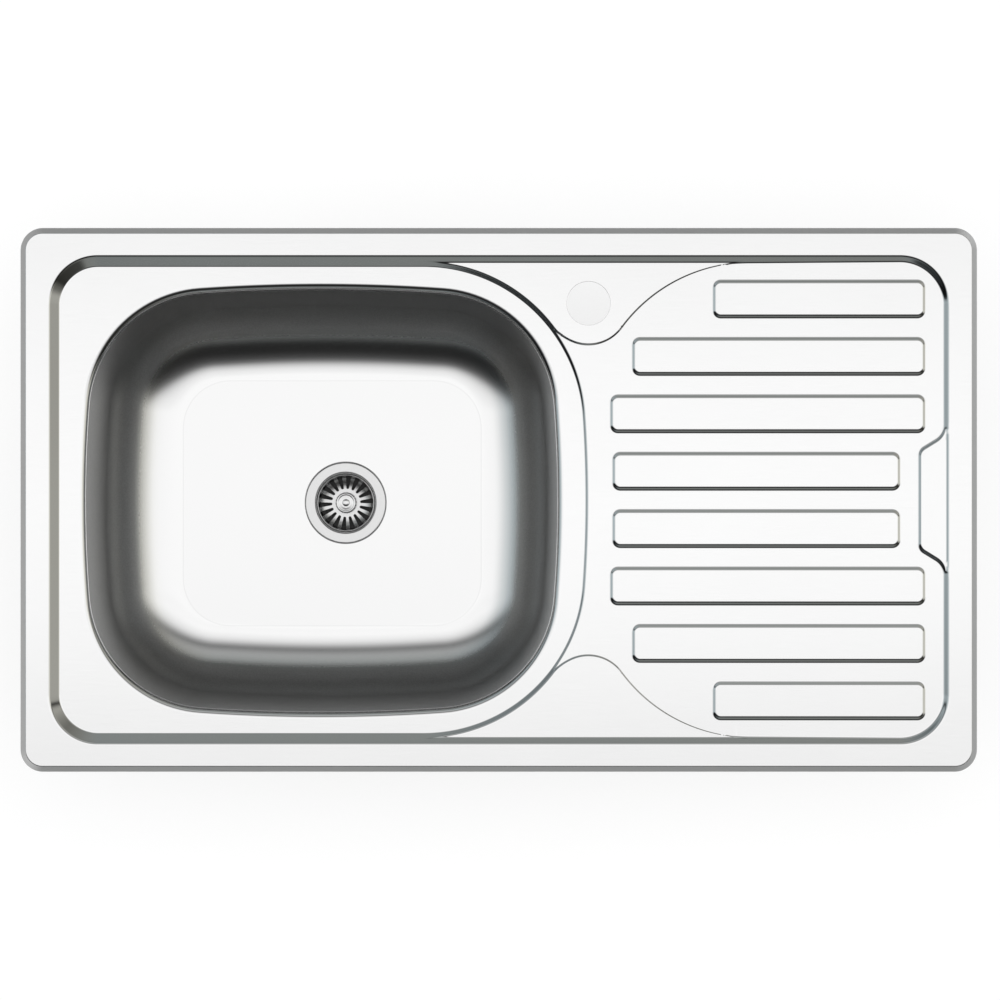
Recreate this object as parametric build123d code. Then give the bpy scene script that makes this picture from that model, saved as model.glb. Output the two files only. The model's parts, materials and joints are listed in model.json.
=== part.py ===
from build123d import *
import os
from math import atan2, cos, degrees, radians, sin, sqrt, tan

os.makedirs("parts", exist_ok=True)

# An inset kitchen sink: one bowl, a tap ledge and a ribbed drainboard, pressed from sheet steel.
# Millimetres. The origin is on the worktop's top face in the middle of the sink. +X runs from the
# bowl to the drainboard, +Y to the tap side and +Z up.

# Rim
sink_length = 765.0
sink_width = 435.0
sheet = 0.8
rim_corner = 18.0
lip_height = 0.7          # upright edge that stands on the worktop
bevel_height = 4.8        # from the lip up to the rim's flat
wall_taper = 45.0         # lean of the bevel and of every pressed wall, from upright
rim_end = 23.0            # from the outer edge to the recesses, at the short sides
rim_side = 22.5

# Recesses. Their outlines lie where their walls would meet the rim's flat, and depths are from it.
recess_corner = 39.0
ledge_depth = 5.0
surround_depth = 8.0
surround_reach = 77.3     # x of the bowl surround's end, on the centre line
surround_corner = 135.5
surround_bow = 1009.0     # radius of its slightly bowed end
pad_depth = 1.9
drainer_near_depth = 6.2  # beside the bowl
drainer_far_depth = 4.1   # at the end wall

# Drainboard outline: it sweeps round the tap ledge at one end and round a raised pad at the other
tap_hole_setback = 5.5    # from the surround's end, towards the bowl
tap_hole_inset = 37.8     # from the recess's side
tap_hole_radius = 17.5
sweep_radius = 132.5
sweep_reach = 128.9       # from the tap hole to the sweep's centre, along the sink
pad_reach = 20.0          # from the end wall
pad_half_width = 37.5
pad_root_half_width = 49.9
pad_edge_radius = 4.4
pad_root_radius = 17.3

# Drainboard ribs: gaps to the surround's end from the middle pair outwards
rib_near_gaps = [13.5, 11.7, 29.3, 93.8]
rib_far_gap = 18.4        # to the end wall, or to the pad
rib_side_gap = 19.1       # from the outer ribs to the recess's side
rib_width = 30.4
rib_height = 2.4
rib_corner = 6.4

# Bowl
mouth_left_margin = 30.95  # from the recess's end
mouth_right_margin = 30.35  # from the surround's end
mouth_side_margin = 24.75
mouth_end_bow = 1000.0    # radii of its slightly bowed ends and sides
mouth_side_bow = 1390.0
mouth_corner = 95.7
mouth_roll = 4.0          # radius of the rolled mouth edge, on its upper face
collar_height = 4.0       # upright collar under the roll, down to the weld
bowl_depth = 150.0
bowl_draft = 5.0
bowl_floor_radius = 57.0

# Waste seat in the bowl's floor
waste_shift_x = 12.4      # from the bowl's centre
waste_shift_y = -2.5
seat_radius = 34.9
seat_depth = 1.6
waste_hole_radius = 27.5

# Waste flange, a pressed cup that the strainer sits in
flange_radius = 34.0
flange_sheet = 0.9
flange_proud = 0.4        # above the bowl's floor
throat_radius = 25.6
throat_bend = 1.2
throat_taper_height = 4.0
cup_radius = 24.3
cup_depth = 27.5
cup_bend = 3.0
cup_hub_radius = 8.6
cup_opening_radius = 16.5
cup_spoke_width = 4.0
cup_openings = 6

# Strainer basket
basket_sheet = 0.7
basket_gap = 0.4
basket_drop = 3.4         # its rim lies this far under the flange's top
basket_height = 8.75
basket_bend = 6.0
basket_rim_band = 2.2     # plain ring above the slots
slot_count = 18
slot_phase = 4.4
slot_inner_radius = 11.75
slot_inner_width = 2.1
slot_outer_radius = 23.5
slot_outer_width = 4.2
knob_radius = 8.6
knob_waist_radius = 6.2
knob_height = 5.6
knob_dish_radius = 5.6
knob_dish_depth = 0.7
rivet_radius = 3.2
rivet_head = 1.0
rivet_shank_radius = 2.0
stopper_disc = 2.0
stopper_lip_radius = 19.5
stopper_shoulder_radius = 14.5
stopper_skirt = 2.0
washer_radius = 9.0
washer_thickness = 1.0
pin_radius = 3.0
pin_gap = 0.3             # in the clamping screw's hollow head
closing_travel = 4.0      # from strained to shut
seal_gap = 0.3            # left between the shut stopper and its seat, and over the screw

# Clamping screw and waste body
screw_radius = 3.0
screw_gap = 0.05
screw_head_radius = 7.0
screw_socket_depth = 7.0
screw_length = 22.0
seal_inset = 1.0
body_seal_thickness = 3.0
body_flange_thickness = 3.5
body_cavity_radius = 26.0
body_wall = 2.6
body_cavity_drop = 10.0   # free height under the cup
body_cone_height = 9.0
tail_radius = 23.9
tail_bore_radius = 19.5
tail_length = 22.0
insert_radius = 4.6
insert_length = 12.0
insert_wall = 2.4
insert_ribs = 3
insert_rib_width = 2.6

# Rim seal and sound-deadening pads
seal_outer_inset = 5.6
seal_width = 4.2
pad_thickness = 2.0
bowl_pad_length = 200.0
bowl_pad_width = 160.0
bowl_pad_hole_radius = 42.0
drainer_pad_length = 190.0
drainer_pad_width = 300.0
pad_corner = 15.0

# Fixing clips under the rim
clip_end_gap = 97.5       # from the sink's ends to the outer clips of each long side
lug_sheet = 1.2
lug_margin = 1.5          # from the recess's outline
lug_width = 9.5
lug_gap = 16.0            # between its legs
lug_foot = 8.0
lug_depth = 22.7          # from the rim's underside to the lug's web
lug_bend = 1.6
nut_width = 8.0
nut_height = 3.0
clip_screw_radius = 2.5
clip_screw_gap = 0.05
clip_hole_gap = 0.3
clip_screw_length = 40.0
clip_screw_tip = 1.0      # out of the nut at rest
clip_head_radius = 4.6
clip_head_height = 3.2
clip_slot_width = 1.2
clip_slot_depth = 1.4
clip_seat_gap = 0.2
jaw_sheet = 2.0
jaw_width = 11.0
jaw_reach = 28.0
jaw_tail = 8.0
jaw_claw_height = 8.0
jaw_tail_height = 14.0
jaw_bend = 2.5
jaw_tooth_pitch = 2.75
jaw_tooth_depth = 1.6

# Places, levels and shifts that follow from the above
recess_length = sink_length - 2 * rim_end
recess_width = sink_width - 2 * rim_side
tap_hole_x = surround_reach - tap_hole_setback
tap_hole_y = recess_width / 2 - tap_hole_inset
sweep_x = tap_hole_x + sweep_reach
pad_edge = recess_length / 2 - pad_reach
rib_pitch = (recess_width - 2 * rib_side_gap - rib_width) / (2 * len(rib_near_gaps) - 1)
mouth_left = mouth_left_margin - recess_length / 2
mouth_right = surround_reach - mouth_right_margin
mouth_x = (mouth_left + mouth_right) / 2
mouth_length = mouth_right - mouth_left
mouth_width = recess_width - 2 * mouth_side_margin
drainer_pad_x = (surround_reach + recess_length / 2) / 2
rim_top = lip_height + bevel_height
rim_under = rim_top - sheet
surround_z = rim_top - surround_depth
weld_z = surround_z - mouth_roll - collar_height
floor_z = rim_top - bowl_depth
seat_z = floor_z - seat_depth
seat_under = seat_z - sheet
flange_top = floor_z + flange_proud
cup_floor = flange_top - cup_depth
cup_under = cup_floor - flange_sheet
basket_rim = flange_top - basket_drop
basket_floor = basket_rim - basket_height
basket_under = basket_floor - basket_sheet
washer_under = basket_under - stopper_disc - washer_thickness
screw_head_top = washer_under - closing_travel - seal_gap
body_top = seat_under - body_seal_thickness
cavity_floor = cup_under - body_cavity_drop
tail_top = cavity_floor - body_cone_height
tail_bottom = tail_top - tail_length
edge_shift = tan(radians(45 - wall_taper / 2))
lip_shift = tan(radians(wall_taper / 2))
wall_run = tan(radians(wall_taper))
drainer_run = recess_length / 2 - surround_reach
drainer_tilt = degrees(atan2(drainer_near_depth - drainer_far_depth, drainer_run))
waste = Pos(mouth_x + waste_shift_x, waste_shift_y, 0)


def revolved(points):
    """Solid of revolution about the waste's axis, from radius and height points."""
    outline = make_face(Polyline(*points, close=True))
    return revolve(Plane.XZ * outline, Axis.Z)


def pressed(points, radii, thickness):
    """Sheet of revolution about the waste's axis, along a bent line of radius and height points."""
    path = FilletPolyline(*points, radius=radii)
    return revolve(Plane.XZ * trace(path, thickness), Axis.Z)


def sunk(outline, level, depth, taper):
    """Solid below an outline at a level, with its walls leaning inwards."""
    return Pos(0, 0, level) * mirror(extrude(outline, depth, taper=taper), Plane.XY)


def angle_to(start, end):
    return degrees(atan2(end.Y - start.Y, end.X - start.X))


def arc_between(centre, radius, first, last):
    """Arc about a centre from one angle to another."""
    return CenterArc(centre, radius, first, last - first)


def bowed_corner(reach, half, end_bow, side_bow, corner):
    """Centre of the corner arc that touches a bowed end and a bowed side from inside."""
    end_centre = Vector(reach - end_bow, 0)
    side_centre = Vector(0, half - side_bow)
    end_reach = end_bow - corner
    side_reach = side_bow - corner
    gap = (side_centre - end_centre).length
    along = (end_reach**2 - side_reach**2 + gap**2) / (2 * gap)
    across = sqrt(end_reach**2 - along**2)
    direction = (side_centre - end_centre).normalized()
    return end_centre + direction * along + Vector(-direction.Y, direction.X) * across


def surround_corner_centre():
    """Centre of the surround's large corner, which touches its straight back and its bowed end."""
    rise = recess_width / 2 - surround_corner
    run = sqrt((surround_bow - surround_corner) ** 2 - rise**2)
    return Vector(surround_reach - surround_bow + run, rise)


def ledge_outline(grow):
    """The tap ledge lies under the drainboard and the surround, so a plain strip is enough."""
    left = surround_reach - 2 * surround_corner - grow
    right = sweep_x + ledge_depth * wall_run + grow
    return Pos((left + right) / 2, 0) * Rectangle(right - left, recess_width + 2 * grow)


def surround_outline(grow):
    """Straight on three sides, with a bowed end that runs into two large corners."""
    half = recess_width / 2 + grow
    left = -recess_length / 2 - grow
    centre = surround_corner_centre()
    bow_centre = Vector(surround_reach - surround_bow, 0)
    bow_angle = angle_to(bow_centre, centre)
    mirrored = Vector(centre.X, -centre.Y)
    back = FilletPolyline(
        (centre.X, half), (left, half), (left, -half), (centre.X, -half), radius=recess_corner + grow
    )
    radius = surround_corner + grow
    front_corner = arc_between(mirrored, radius, -90, -bow_angle)
    end = arc_between(bow_centre, surround_bow + grow, -bow_angle, bow_angle)
    back_corner = arc_between(centre, radius, bow_angle, 90)
    return make_face(Curve() + [back, front_corner, end, back_corner])


def drainer_outline(grow):
    """Sweeps from the back edge round the tap ledge, and along the other side round the pad."""
    half = recess_width / 2
    right = recess_length / 2 + grow
    sweep_centre = Vector(sweep_x, half - sweep_radius)
    hole = Vector(tap_hole_x, tap_hole_y)
    sweep_angle = angle_to(sweep_centre, hole)
    hole_radius = (hole - sweep_centre).length - sweep_radius
    run = drainer_near_depth * wall_run
    corner = surround_corner_centre()
    tip_angle = angle_to(hole, corner) - degrees((run + grow) / (hole_radius + run))
    slant = degrees(atan2(pad_root_half_width - pad_half_width, recess_length / 2 - pad_edge))
    slant_shift = grow * tan(radians(45 - slant / 2))
    outer = FilletPolyline(
        (pad_edge + grow, 0),
        (pad_edge + grow, pad_half_width - slant_shift),
        (right, pad_root_half_width - slant_shift),
        (right, half + grow),
        (sweep_x, half + grow),
        radius=[pad_edge_radius - grow, pad_root_radius + grow, recess_corner + grow],
    )
    sweep = arc_between(sweep_centre, sweep_radius + grow, 90, sweep_angle)
    turn = arc_between(hole, hole_radius - grow, sweep_angle - 180, tip_angle)
    tip = turn @ 1
    inside = tip + (corner - tip).normalized() * (surround_corner / 2)
    closing = Polyline(tip, inside, (inside.X, 0), (pad_edge + grow, 0))
    upper = make_face(Curve() + [outer, sweep, turn, closing])
    return upper + mirror(upper, Plane.XZ)


def pad_outline(grow):
    """Reaches into the drainboard on three sides, where the drainboard is the deeper."""
    half = pad_root_half_width + pad_root_radius / 2
    left = pad_edge - 3 * pad_depth
    right = recess_length / 2 + grow
    return Pos((left + right) / 2, 0) * Rectangle(right - left, 2 * half)


def recess(outline, depth, drop):
    """Space over a recess's floor. A drop of one sheet gives that of the sheet's lower face."""
    return sunk(outline(drop * edge_shift), rim_top - drop, depth, wall_taper)


def drainer_plane(drop):
    """The drainboard's floor, which falls to the bowl."""
    origin = (recess_length / 2, 0, rim_top - drainer_far_depth - drop)
    return Plane(origin, x_dir=(cos(radians(drainer_tilt)), 0, sin(radians(drainer_tilt))),
                 z_dir=(-sin(radians(drainer_tilt)), 0, cos(radians(drainer_tilt))))


def rib(index, side, drop):
    left = surround_reach + rib_near_gaps[index]
    right = (pad_edge if index == 0 else recess_length / 2) - rib_far_gap
    shrink = 2 * drop * edge_shift
    base = RectangleRounded(right - left - shrink, rib_width - shrink, rib_corner - shrink / 2)
    y = side * (index + 0.5) * rib_pitch
    place = drainer_plane(drop) * Pos((left + right - recess_length) / 2, y, 0)
    return place * extrude(base, rib_height, taper=wall_taper)


def recesses(drop):
    """Space over all the recesses, less the ribs that stand on the drainboard."""
    below = drainer_plane(drop) * Pos(0, 0, -10) * Box(2 * sink_length, 2 * sink_width, 20)
    space = recess(drainer_outline, 2 * drainer_near_depth, drop) - below
    space += recess(surround_outline, surround_depth, drop)
    space += recess(ledge_outline, ledge_depth, drop)
    space += recess(pad_outline, pad_depth, drop)
    for index in range(len(rib_near_gaps)):
        for side in (-1, 1):
            space -= rib(index, side, drop)
    return space


def rim_block(drop, foot):
    """Solid under the rim's upright edge and bevel, down to the level of its foot."""
    face = RectangleRounded(sink_length - 2 * drop, sink_width - 2 * drop, rim_corner - drop)
    upright_top = lip_height - drop * lip_shift
    block = extrude(Pos(0, 0, foot) * face, upright_top - foot)
    return block + extrude(Pos(0, 0, upright_top) * face, rim_top - drop - upright_top, taper=wall_taper)


def mouth_outline(grow):
    """The bowl's mouth: four shallow arcs with rounded corners."""
    reach = mouth_length / 2
    half = mouth_width / 2
    corner = bowed_corner(reach, half, mouth_end_bow, mouth_side_bow, mouth_corner)
    end_centre = Vector(reach - mouth_end_bow, 0)
    side_centre = Vector(0, half - mouth_side_bow)
    low = angle_to(end_centre, corner)
    high = angle_to(side_centre, corner)
    quarter = [
        arc_between(end_centre, mouth_end_bow + grow, 0, low),
        arc_between(corner, mouth_corner + grow, low, high),
        arc_between(side_centre, mouth_side_bow + grow, high, 90),
    ]
    quarter = make_face(Curve() + quarter + [Polyline((0, half + grow), (0, 0), (reach + grow, 0))])
    upper = quarter + mirror(quarter, Plane.YZ)
    return Pos(mouth_x, 0) * (upper + mirror(upper, Plane.XZ))


def with_mouth(block, drop):
    """Cuts the bowl's mouth and rolls its upper edge."""
    outline = mouth_outline(drop)
    level = surround_z - drop
    hole = extrude(Pos(0, 0, level + 1) * outline, 2 * (level + 1 - weld_z), dir=(0, 0, -1))
    block = block - hole
    ring = (Pos(0, 0, level) * outline).wire()
    edges = [edge for edge in block.edges() if edge.position_at(0.5).Z > level - 0.01]
    edges = [edge for edge in edges if ring.distance_to(Vertex(edge.position_at(0.5))) < 0.01]
    return fillet(edges, mouth_roll - drop)


def deck():
    """The pressing: everything under its top face, less everything under its lower face."""
    core = extrude(Pos(0, 0, weld_z) * RectangleRounded(recess_length, recess_width, recess_corner),
                   -weld_z)
    top = with_mouth(rim_block(0, 0) + core - recesses(0), 0)
    under = with_mouth(rim_block(sheet, weld_z - 1) - recesses(sheet), sheet)
    tap_hole = Pos(tap_hole_x, tap_hole_y, 0) * Cylinder(tap_hole_radius, 4 * ledge_depth)
    return top - under - tap_hole


def bowl_form(drop):
    """Inside of the bowl, or its outside when drop is one sheet."""
    outline = mouth_outline(drop / cos(radians(bowl_draft)))
    form = sunk(outline, weld_z, weld_z - floor_z + drop, bowl_draft)
    floor_edges = form.edges().group_by(Axis.Z)[0]
    form = fillet(floor_edges, bowl_floor_radius + drop)
    top = seat_radius + drop * edge_shift
    low = top - seat_depth * wall_run
    level = floor_z - drop
    seat = revolved([(0, level - seat_depth), (low, level - seat_depth), (top, level), (0, level)])
    return form + waste * seat


def bowl():
    """Drawn bowl, butt-welded to the deck's collar."""
    hole = waste * Pos(0, 0, seat_z) * Cylinder(waste_hole_radius, 4 * seat_depth)
    return bowl_form(sheet) - bowl_form(0) - hole


def rim_seal():
    outer = seal_outer_inset
    inner = seal_outer_inset + seal_width
    ring = RectangleRounded(sink_length - 2 * outer, sink_width - 2 * outer, rim_corner - outer)
    ring -= RectangleRounded(sink_length - 2 * inner, sink_width - 2 * inner, rim_corner - inner)
    return extrude(ring, rim_under)


def bowl_pad():
    face = Pos(mouth_x, 0) * RectangleRounded(bowl_pad_length, bowl_pad_width, pad_corner)
    face -= waste * Circle(bowl_pad_hole_radius)
    return extrude(Pos(0, 0, floor_z - sheet) * face, pad_thickness, dir=(0, 0, -1))


def drainer_pad():
    face = RectangleRounded(drainer_pad_length, drainer_pad_width, pad_corner)
    place = drainer_plane(sheet) * Pos(drainer_pad_x - recess_length / 2, 0, 0)
    return place * extrude(face, -pad_thickness)


def waste_flange():
    """Flange and cup of one sheet, with a ring of openings round the hub for the screw."""
    half = flange_sheet / 2
    top = flange_top - half
    low = cup_floor - half
    side = cup_radius + half
    path = [(flange_radius, top), (throat_radius, top), (side, top - throat_taper_height), (side, low),
            (cup_opening_radius, low)]
    cup = pressed(path, [throat_bend, cup_bend, cup_bend], flange_sheet)
    plate = Pos(0, 0, cup_under + half) * Cylinder(cup_opening_radius, flange_sheet)
    opening = Circle(cup_opening_radius) - Circle(cup_hub_radius)
    for index in range(cup_openings // 2):
        opening -= Rot(0, 0, index * 360 / cup_openings) * Rectangle(3 * cup_radius, cup_spoke_width)
    plate -= extrude(Pos(0, 0, cup_under) * opening, flange_sheet)
    plate -= Pos(0, 0, low) * Cylinder(screw_radius + pin_gap, 2 * flange_sheet)
    return waste * (cup + plate)


def flange_seal():
    ring = Circle(flange_radius - seal_inset) - Circle(waste_hole_radius + seal_inset)
    return waste * extrude(Pos(0, 0, seat_z) * ring, flange_top - flange_sheet - seat_z)


def body_seal():
    ring = Circle(flange_radius - seal_inset) - Circle(waste_hole_radius + seal_inset)
    return waste * extrude(Pos(0, 0, body_top) * ring, body_seal_thickness)


def waste_body():
    """Moulded body: flanged cup, cone and threaded tail, with ribs that carry the screw's insert."""
    outer = body_cavity_radius + body_wall
    flange = flange_radius - seal_inset
    flange_under = body_top - body_flange_thickness
    shell = revolved(
        [
            (body_cavity_radius, body_top),
            (flange, body_top),
            (flange, flange_under),
            (outer, flange_under - (flange - outer)),
            (outer, cavity_floor),
            (tail_radius, tail_top),
            (tail_radius, tail_bottom),
            (tail_bore_radius, tail_bottom),
            (tail_bore_radius, tail_top),
            (body_cavity_radius, cavity_floor),
        ]
    )
    hub = insert_radius + insert_wall
    hub_bottom = cavity_floor - insert_length - insert_wall
    spider = Pos(0, 0, hub_bottom) * extrude(Circle(hub), cavity_floor - hub_bottom)
    reach = tail_bore_radius + body_wall / 2
    for index in range(insert_ribs):
        arm = Pos(reach / 2, 0) * Rectangle(reach, insert_rib_width)
        arm = Rot(0, 0, 30 + index * 360 / insert_ribs) * arm
        spider += extrude(Pos(0, 0, tail_top - insert_wall) * arm, body_cone_height - insert_wall)
    spider -= Pos(0, 0, cavity_floor) * extrude(Circle(insert_radius), -insert_length)
    return waste * (shell + spider)


def screw_insert():
    tube = Circle(insert_radius) - Circle(screw_radius + screw_gap)
    return waste * extrude(Pos(0, 0, cavity_floor) * tube, -insert_length)


def waste_screw():
    """Clamping screw. Its hollow head is the socket for the strainer's pin."""
    socket = pin_radius + pin_gap
    socket_floor = screw_head_top - screw_socket_depth
    return waste * revolved(
        [
            (0, cup_floor - screw_length),
            (screw_radius, cup_floor - screw_length),
            (screw_radius, cup_floor),
            (screw_head_radius, cup_floor),
            (screw_head_radius, screw_head_top - 1),
            (screw_head_radius - 1, screw_head_top),
            (socket, screw_head_top),
            (socket, socket_floor),
            (0, socket_floor),
        ]
    )


def slot_tool():
    """One tapered slot from the hub out through the curved wall, under the rim band."""
    inner = slot_inner_width / 2
    outer = slot_outer_width / 2
    growth = (outer - inner) / (slot_outer_radius - slot_inner_radius)
    end = slot_outer_radius + 2
    tip = outer + 2 * growth
    start = slot_inner_radius + inner
    wedge = make_face(Polyline((start, inner), (end, tip), (end, -tip), (start, -inner), close=True))
    wedge += Pos(start, 0) * Circle(inner)
    height = basket_height - basket_rim_band + 2 * basket_sheet
    return extrude(Pos(0, 0, basket_under - basket_sheet) * wedge, height)


def strainer_basket():
    """Pressed basket with radial slots."""
    half = basket_sheet / 2
    side = cup_radius - basket_gap - half
    path = [(side, basket_rim), (side, basket_floor - half), (rivet_shank_radius, basket_floor - half)]
    basket = pressed(path, [basket_bend], basket_sheet)
    tool = slot_tool()
    for index in range(slot_count):
        basket -= Rot(0, 0, slot_phase + index * 360 / slot_count) * tool
    return waste * basket


def basket_knob():
    """Turned knob with a waist and a dished top."""
    top = basket_floor + knob_height
    dish = top - knob_dish_depth
    profile = Curve() + [
        Line((rivet_shank_radius, basket_floor), (knob_waist_radius + 0.8, basket_floor)),
        ThreePointArc(
            (knob_waist_radius + 0.8, basket_floor),
            (knob_waist_radius, basket_floor + 0.35 * knob_height),
            (knob_radius, basket_floor + 0.7 * knob_height),
        ),
        ThreePointArc(
            (knob_radius, basket_floor + 0.7 * knob_height),
            (knob_radius - 0.1, top - 0.5),
            (knob_radius - 0.9, top),
        ),
        Polyline(
            (knob_radius - 0.9, top),
            (knob_dish_radius, top),
            (knob_dish_radius - 0.7, dish),
            (rivet_shank_radius, dish),
            (rivet_shank_radius, basket_floor),
        ),
    ]
    return waste * revolve(Plane.XZ * make_face(profile), Axis.Z)


def basket_stem():
    """Rivet through knob, basket, stopper and washer, with the pin that locates in the screw."""
    head = basket_floor + knob_height - knob_dish_depth
    pin_tip = washer_under - screw_socket_depth
    return waste * revolved(
        [
            (0, pin_tip),
            (pin_radius - 0.8, pin_tip),
            (pin_radius, pin_tip + 0.8),
            (pin_radius, washer_under),
            (rivet_shank_radius, washer_under),
            (rivet_shank_radius, head),
            (rivet_radius, head),
            (rivet_radius - 0.5, head + 0.7 * rivet_head),
            (rivet_radius / 2, head + rivet_head),
            (0, head + rivet_head),
        ]
    )


def basket_stopper():
    """Rubber bell whose lip shuts the cup's openings."""
    top = basket_under
    disc = top - stopper_disc
    lip = cup_floor + seal_gap + closing_travel
    shoulder = stopper_shoulder_radius
    return waste * revolved(
        [
            (rivet_shank_radius, top),
            (shoulder, top),
            (shoulder + 1.5, top - 1.0),
            (stopper_lip_radius, lip + 1.2),
            (stopper_lip_radius, lip),
            (stopper_lip_radius - stopper_skirt, lip),
            (shoulder - 0.5, disc),
            (rivet_shank_radius, disc),
        ]
    )


def stopper_washer():
    ring = Circle(washer_radius) - Circle(rivet_shank_radius)
    return waste * extrude(Pos(0, 0, washer_under) * ring, washer_thickness)


def clip_places():
    """Screw axes of the clips, each with its local +X pointing out to the worktop."""
    out = lug_margin + lug_width / 2
    x = recess_length / 2 + out
    y = recess_width / 2 + out
    outer = sink_length / 2 - clip_end_gap
    places = [Pos(side_x, y, 0) * Rot(0, 0, 90) for side_x in (-outer, 0, outer)]
    places.append(Pos(x, 0, 0))
    places += [Pos(side_x, -y, 0) * Rot(0, 0, -90) for side_x in (outer, 0, -outer)]
    places.append(Pos(-x, 0, 0) * Rot(0, 0, 180))
    return places


def clip_lug():
    """Hat-shaped strap, welded by its feet to the rim's underside."""
    half = lug_sheet / 2
    web = rim_under - lug_depth + half
    leg = lug_gap / 2 + half
    foot = leg + half + lug_foot
    level = rim_under - half
    path = [(-foot, level), (-leg, level), (-leg, web), (leg, web), (leg, level), (foot, level)]
    strap = Plane.YZ * trace(FilletPolyline(*path, radius=lug_bend), lug_sheet)
    lug = extrude(strap, lug_width / 2, both=True)
    return lug - Pos(0, 0, web) * Cylinder(clip_screw_radius + clip_hole_gap, 3 * lug_sheet)


def clip_nut():
    base = rim_under - lug_depth + lug_sheet
    face = Rectangle(nut_width, nut_width) - Circle(clip_screw_radius + clip_screw_gap)
    return extrude(Pos(0, 0, base) * face, nut_height)


def jaw_level():
    """Upper face of the jaw's arm at rest."""
    tip = rim_under - lug_depth + lug_sheet + nut_height + clip_screw_tip
    return tip - clip_screw_length + clip_seat_gap + jaw_sheet


def clip_jaw():
    """Bent claw on the screw. At rest it lies along the rim, clear of the cut-out."""
    half = jaw_sheet / 2
    level = jaw_level() - half
    claw = level + half + jaw_claw_height
    path = [
        (jaw_tail, level + half + jaw_tail_height),
        (jaw_tail, level),
        (half - jaw_reach, level),
        (half - jaw_reach, claw),
    ]
    strip = Plane.YZ * trace(FilletPolyline(*path, radius=jaw_bend), jaw_sheet)
    jaw = extrude(strip, jaw_width / 2, both=True)
    jaw -= Pos(0, 0, level) * Cylinder(clip_screw_radius + clip_hole_gap, 3 * jaw_sheet)
    teeth = int(jaw_width // jaw_tooth_pitch)
    notch = Rot(0, 45, 0) * Box(jaw_tooth_depth, 3 * jaw_sheet, jaw_tooth_depth)
    for index in range(1, teeth):
        x = (index - teeth / 2) * jaw_tooth_pitch
        jaw -= Pos(x, -jaw_reach, claw) * notch
    return jaw


def clip_screw():
    seat = jaw_level() - jaw_sheet - clip_seat_gap
    shank = extrude(Pos(0, 0, seat) * Circle(clip_screw_radius), clip_screw_length)
    head = extrude(Pos(0, 0, seat) * Circle(clip_head_radius), -clip_head_height)
    head = chamfer(head.edges().group_by(Axis.Z)[0], clip_head_height / 4)
    slot_height = 2 * clip_slot_depth
    slot = Box(3 * clip_head_radius, clip_slot_width, slot_height)
    return shank + head - Pos(0, 0, seat - clip_head_height) * slot


def write(node, shape):
    shape.label = node
    export_step(shape, "parts/" + node + ".step")


def main():
    write("deck", deck())
    write("bowl", bowl())
    write("rim_seal", rim_seal())
    write("bowl_damping_pad", bowl_pad())
    write("drainer_damping_pad", drainer_pad())
    write("waste_flange", waste_flange())
    write("flange_seal", flange_seal())
    write("body_seal", body_seal())
    write("waste_body", waste_body())
    write("screw_insert", screw_insert())
    write("waste_screw", waste_screw())
    write("strainer_basket", strainer_basket())
    write("basket_knob", basket_knob())
    write("basket_stem", basket_stem())
    write("basket_stopper", basket_stopper())
    write("stopper_washer", stopper_washer())
    places = clip_places()
    write("clip_lugs", Compound([place * clip_lug() for place in places]))
    write("clip_nuts", Compound([place * clip_nut() for place in places]))
    for number, place in enumerate(places, start=1):
        write("clip_jaw_" + str(number), place * clip_jaw())
        write("clip_screw_" + str(number), place * clip_screw())


main()
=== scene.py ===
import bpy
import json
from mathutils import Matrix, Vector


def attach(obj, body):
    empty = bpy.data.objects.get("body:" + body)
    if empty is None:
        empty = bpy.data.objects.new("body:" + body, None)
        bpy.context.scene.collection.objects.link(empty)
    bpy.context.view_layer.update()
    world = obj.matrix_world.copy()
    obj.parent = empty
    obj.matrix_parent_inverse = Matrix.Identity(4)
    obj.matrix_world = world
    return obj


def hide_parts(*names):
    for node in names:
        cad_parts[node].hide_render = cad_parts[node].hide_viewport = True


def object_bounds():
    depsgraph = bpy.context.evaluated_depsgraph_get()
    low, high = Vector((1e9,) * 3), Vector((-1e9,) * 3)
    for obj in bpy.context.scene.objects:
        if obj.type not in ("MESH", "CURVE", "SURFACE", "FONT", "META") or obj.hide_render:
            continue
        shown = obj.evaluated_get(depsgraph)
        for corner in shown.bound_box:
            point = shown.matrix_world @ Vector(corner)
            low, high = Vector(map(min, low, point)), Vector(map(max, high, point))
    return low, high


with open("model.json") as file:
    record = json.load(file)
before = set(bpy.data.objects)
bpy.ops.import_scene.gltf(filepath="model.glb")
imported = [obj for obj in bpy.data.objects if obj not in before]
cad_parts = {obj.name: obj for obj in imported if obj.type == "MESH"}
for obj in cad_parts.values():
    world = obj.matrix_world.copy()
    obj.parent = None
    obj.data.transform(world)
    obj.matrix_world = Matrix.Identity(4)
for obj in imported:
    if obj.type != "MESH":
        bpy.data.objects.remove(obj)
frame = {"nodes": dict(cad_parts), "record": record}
cadBox = [list(corner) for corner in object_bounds()]

import json
from math import atan2, cos, pi, radians, sin, sqrt, tan

import bmesh
import bpy
import numpy as np
from mathutils import Vector
from mathutils.geometry import delaunay_2d_cdt

print("frame loaded")
mm = 0.001            # sizes below are millimetres, meshes are metres
farOff = 1000.0       # a wall that is nowhere near
tiny = 1e-6
half45 = radians(22.5)  # a bend of 45 degrees starts its radius times the tangent of this before its corner


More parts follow.
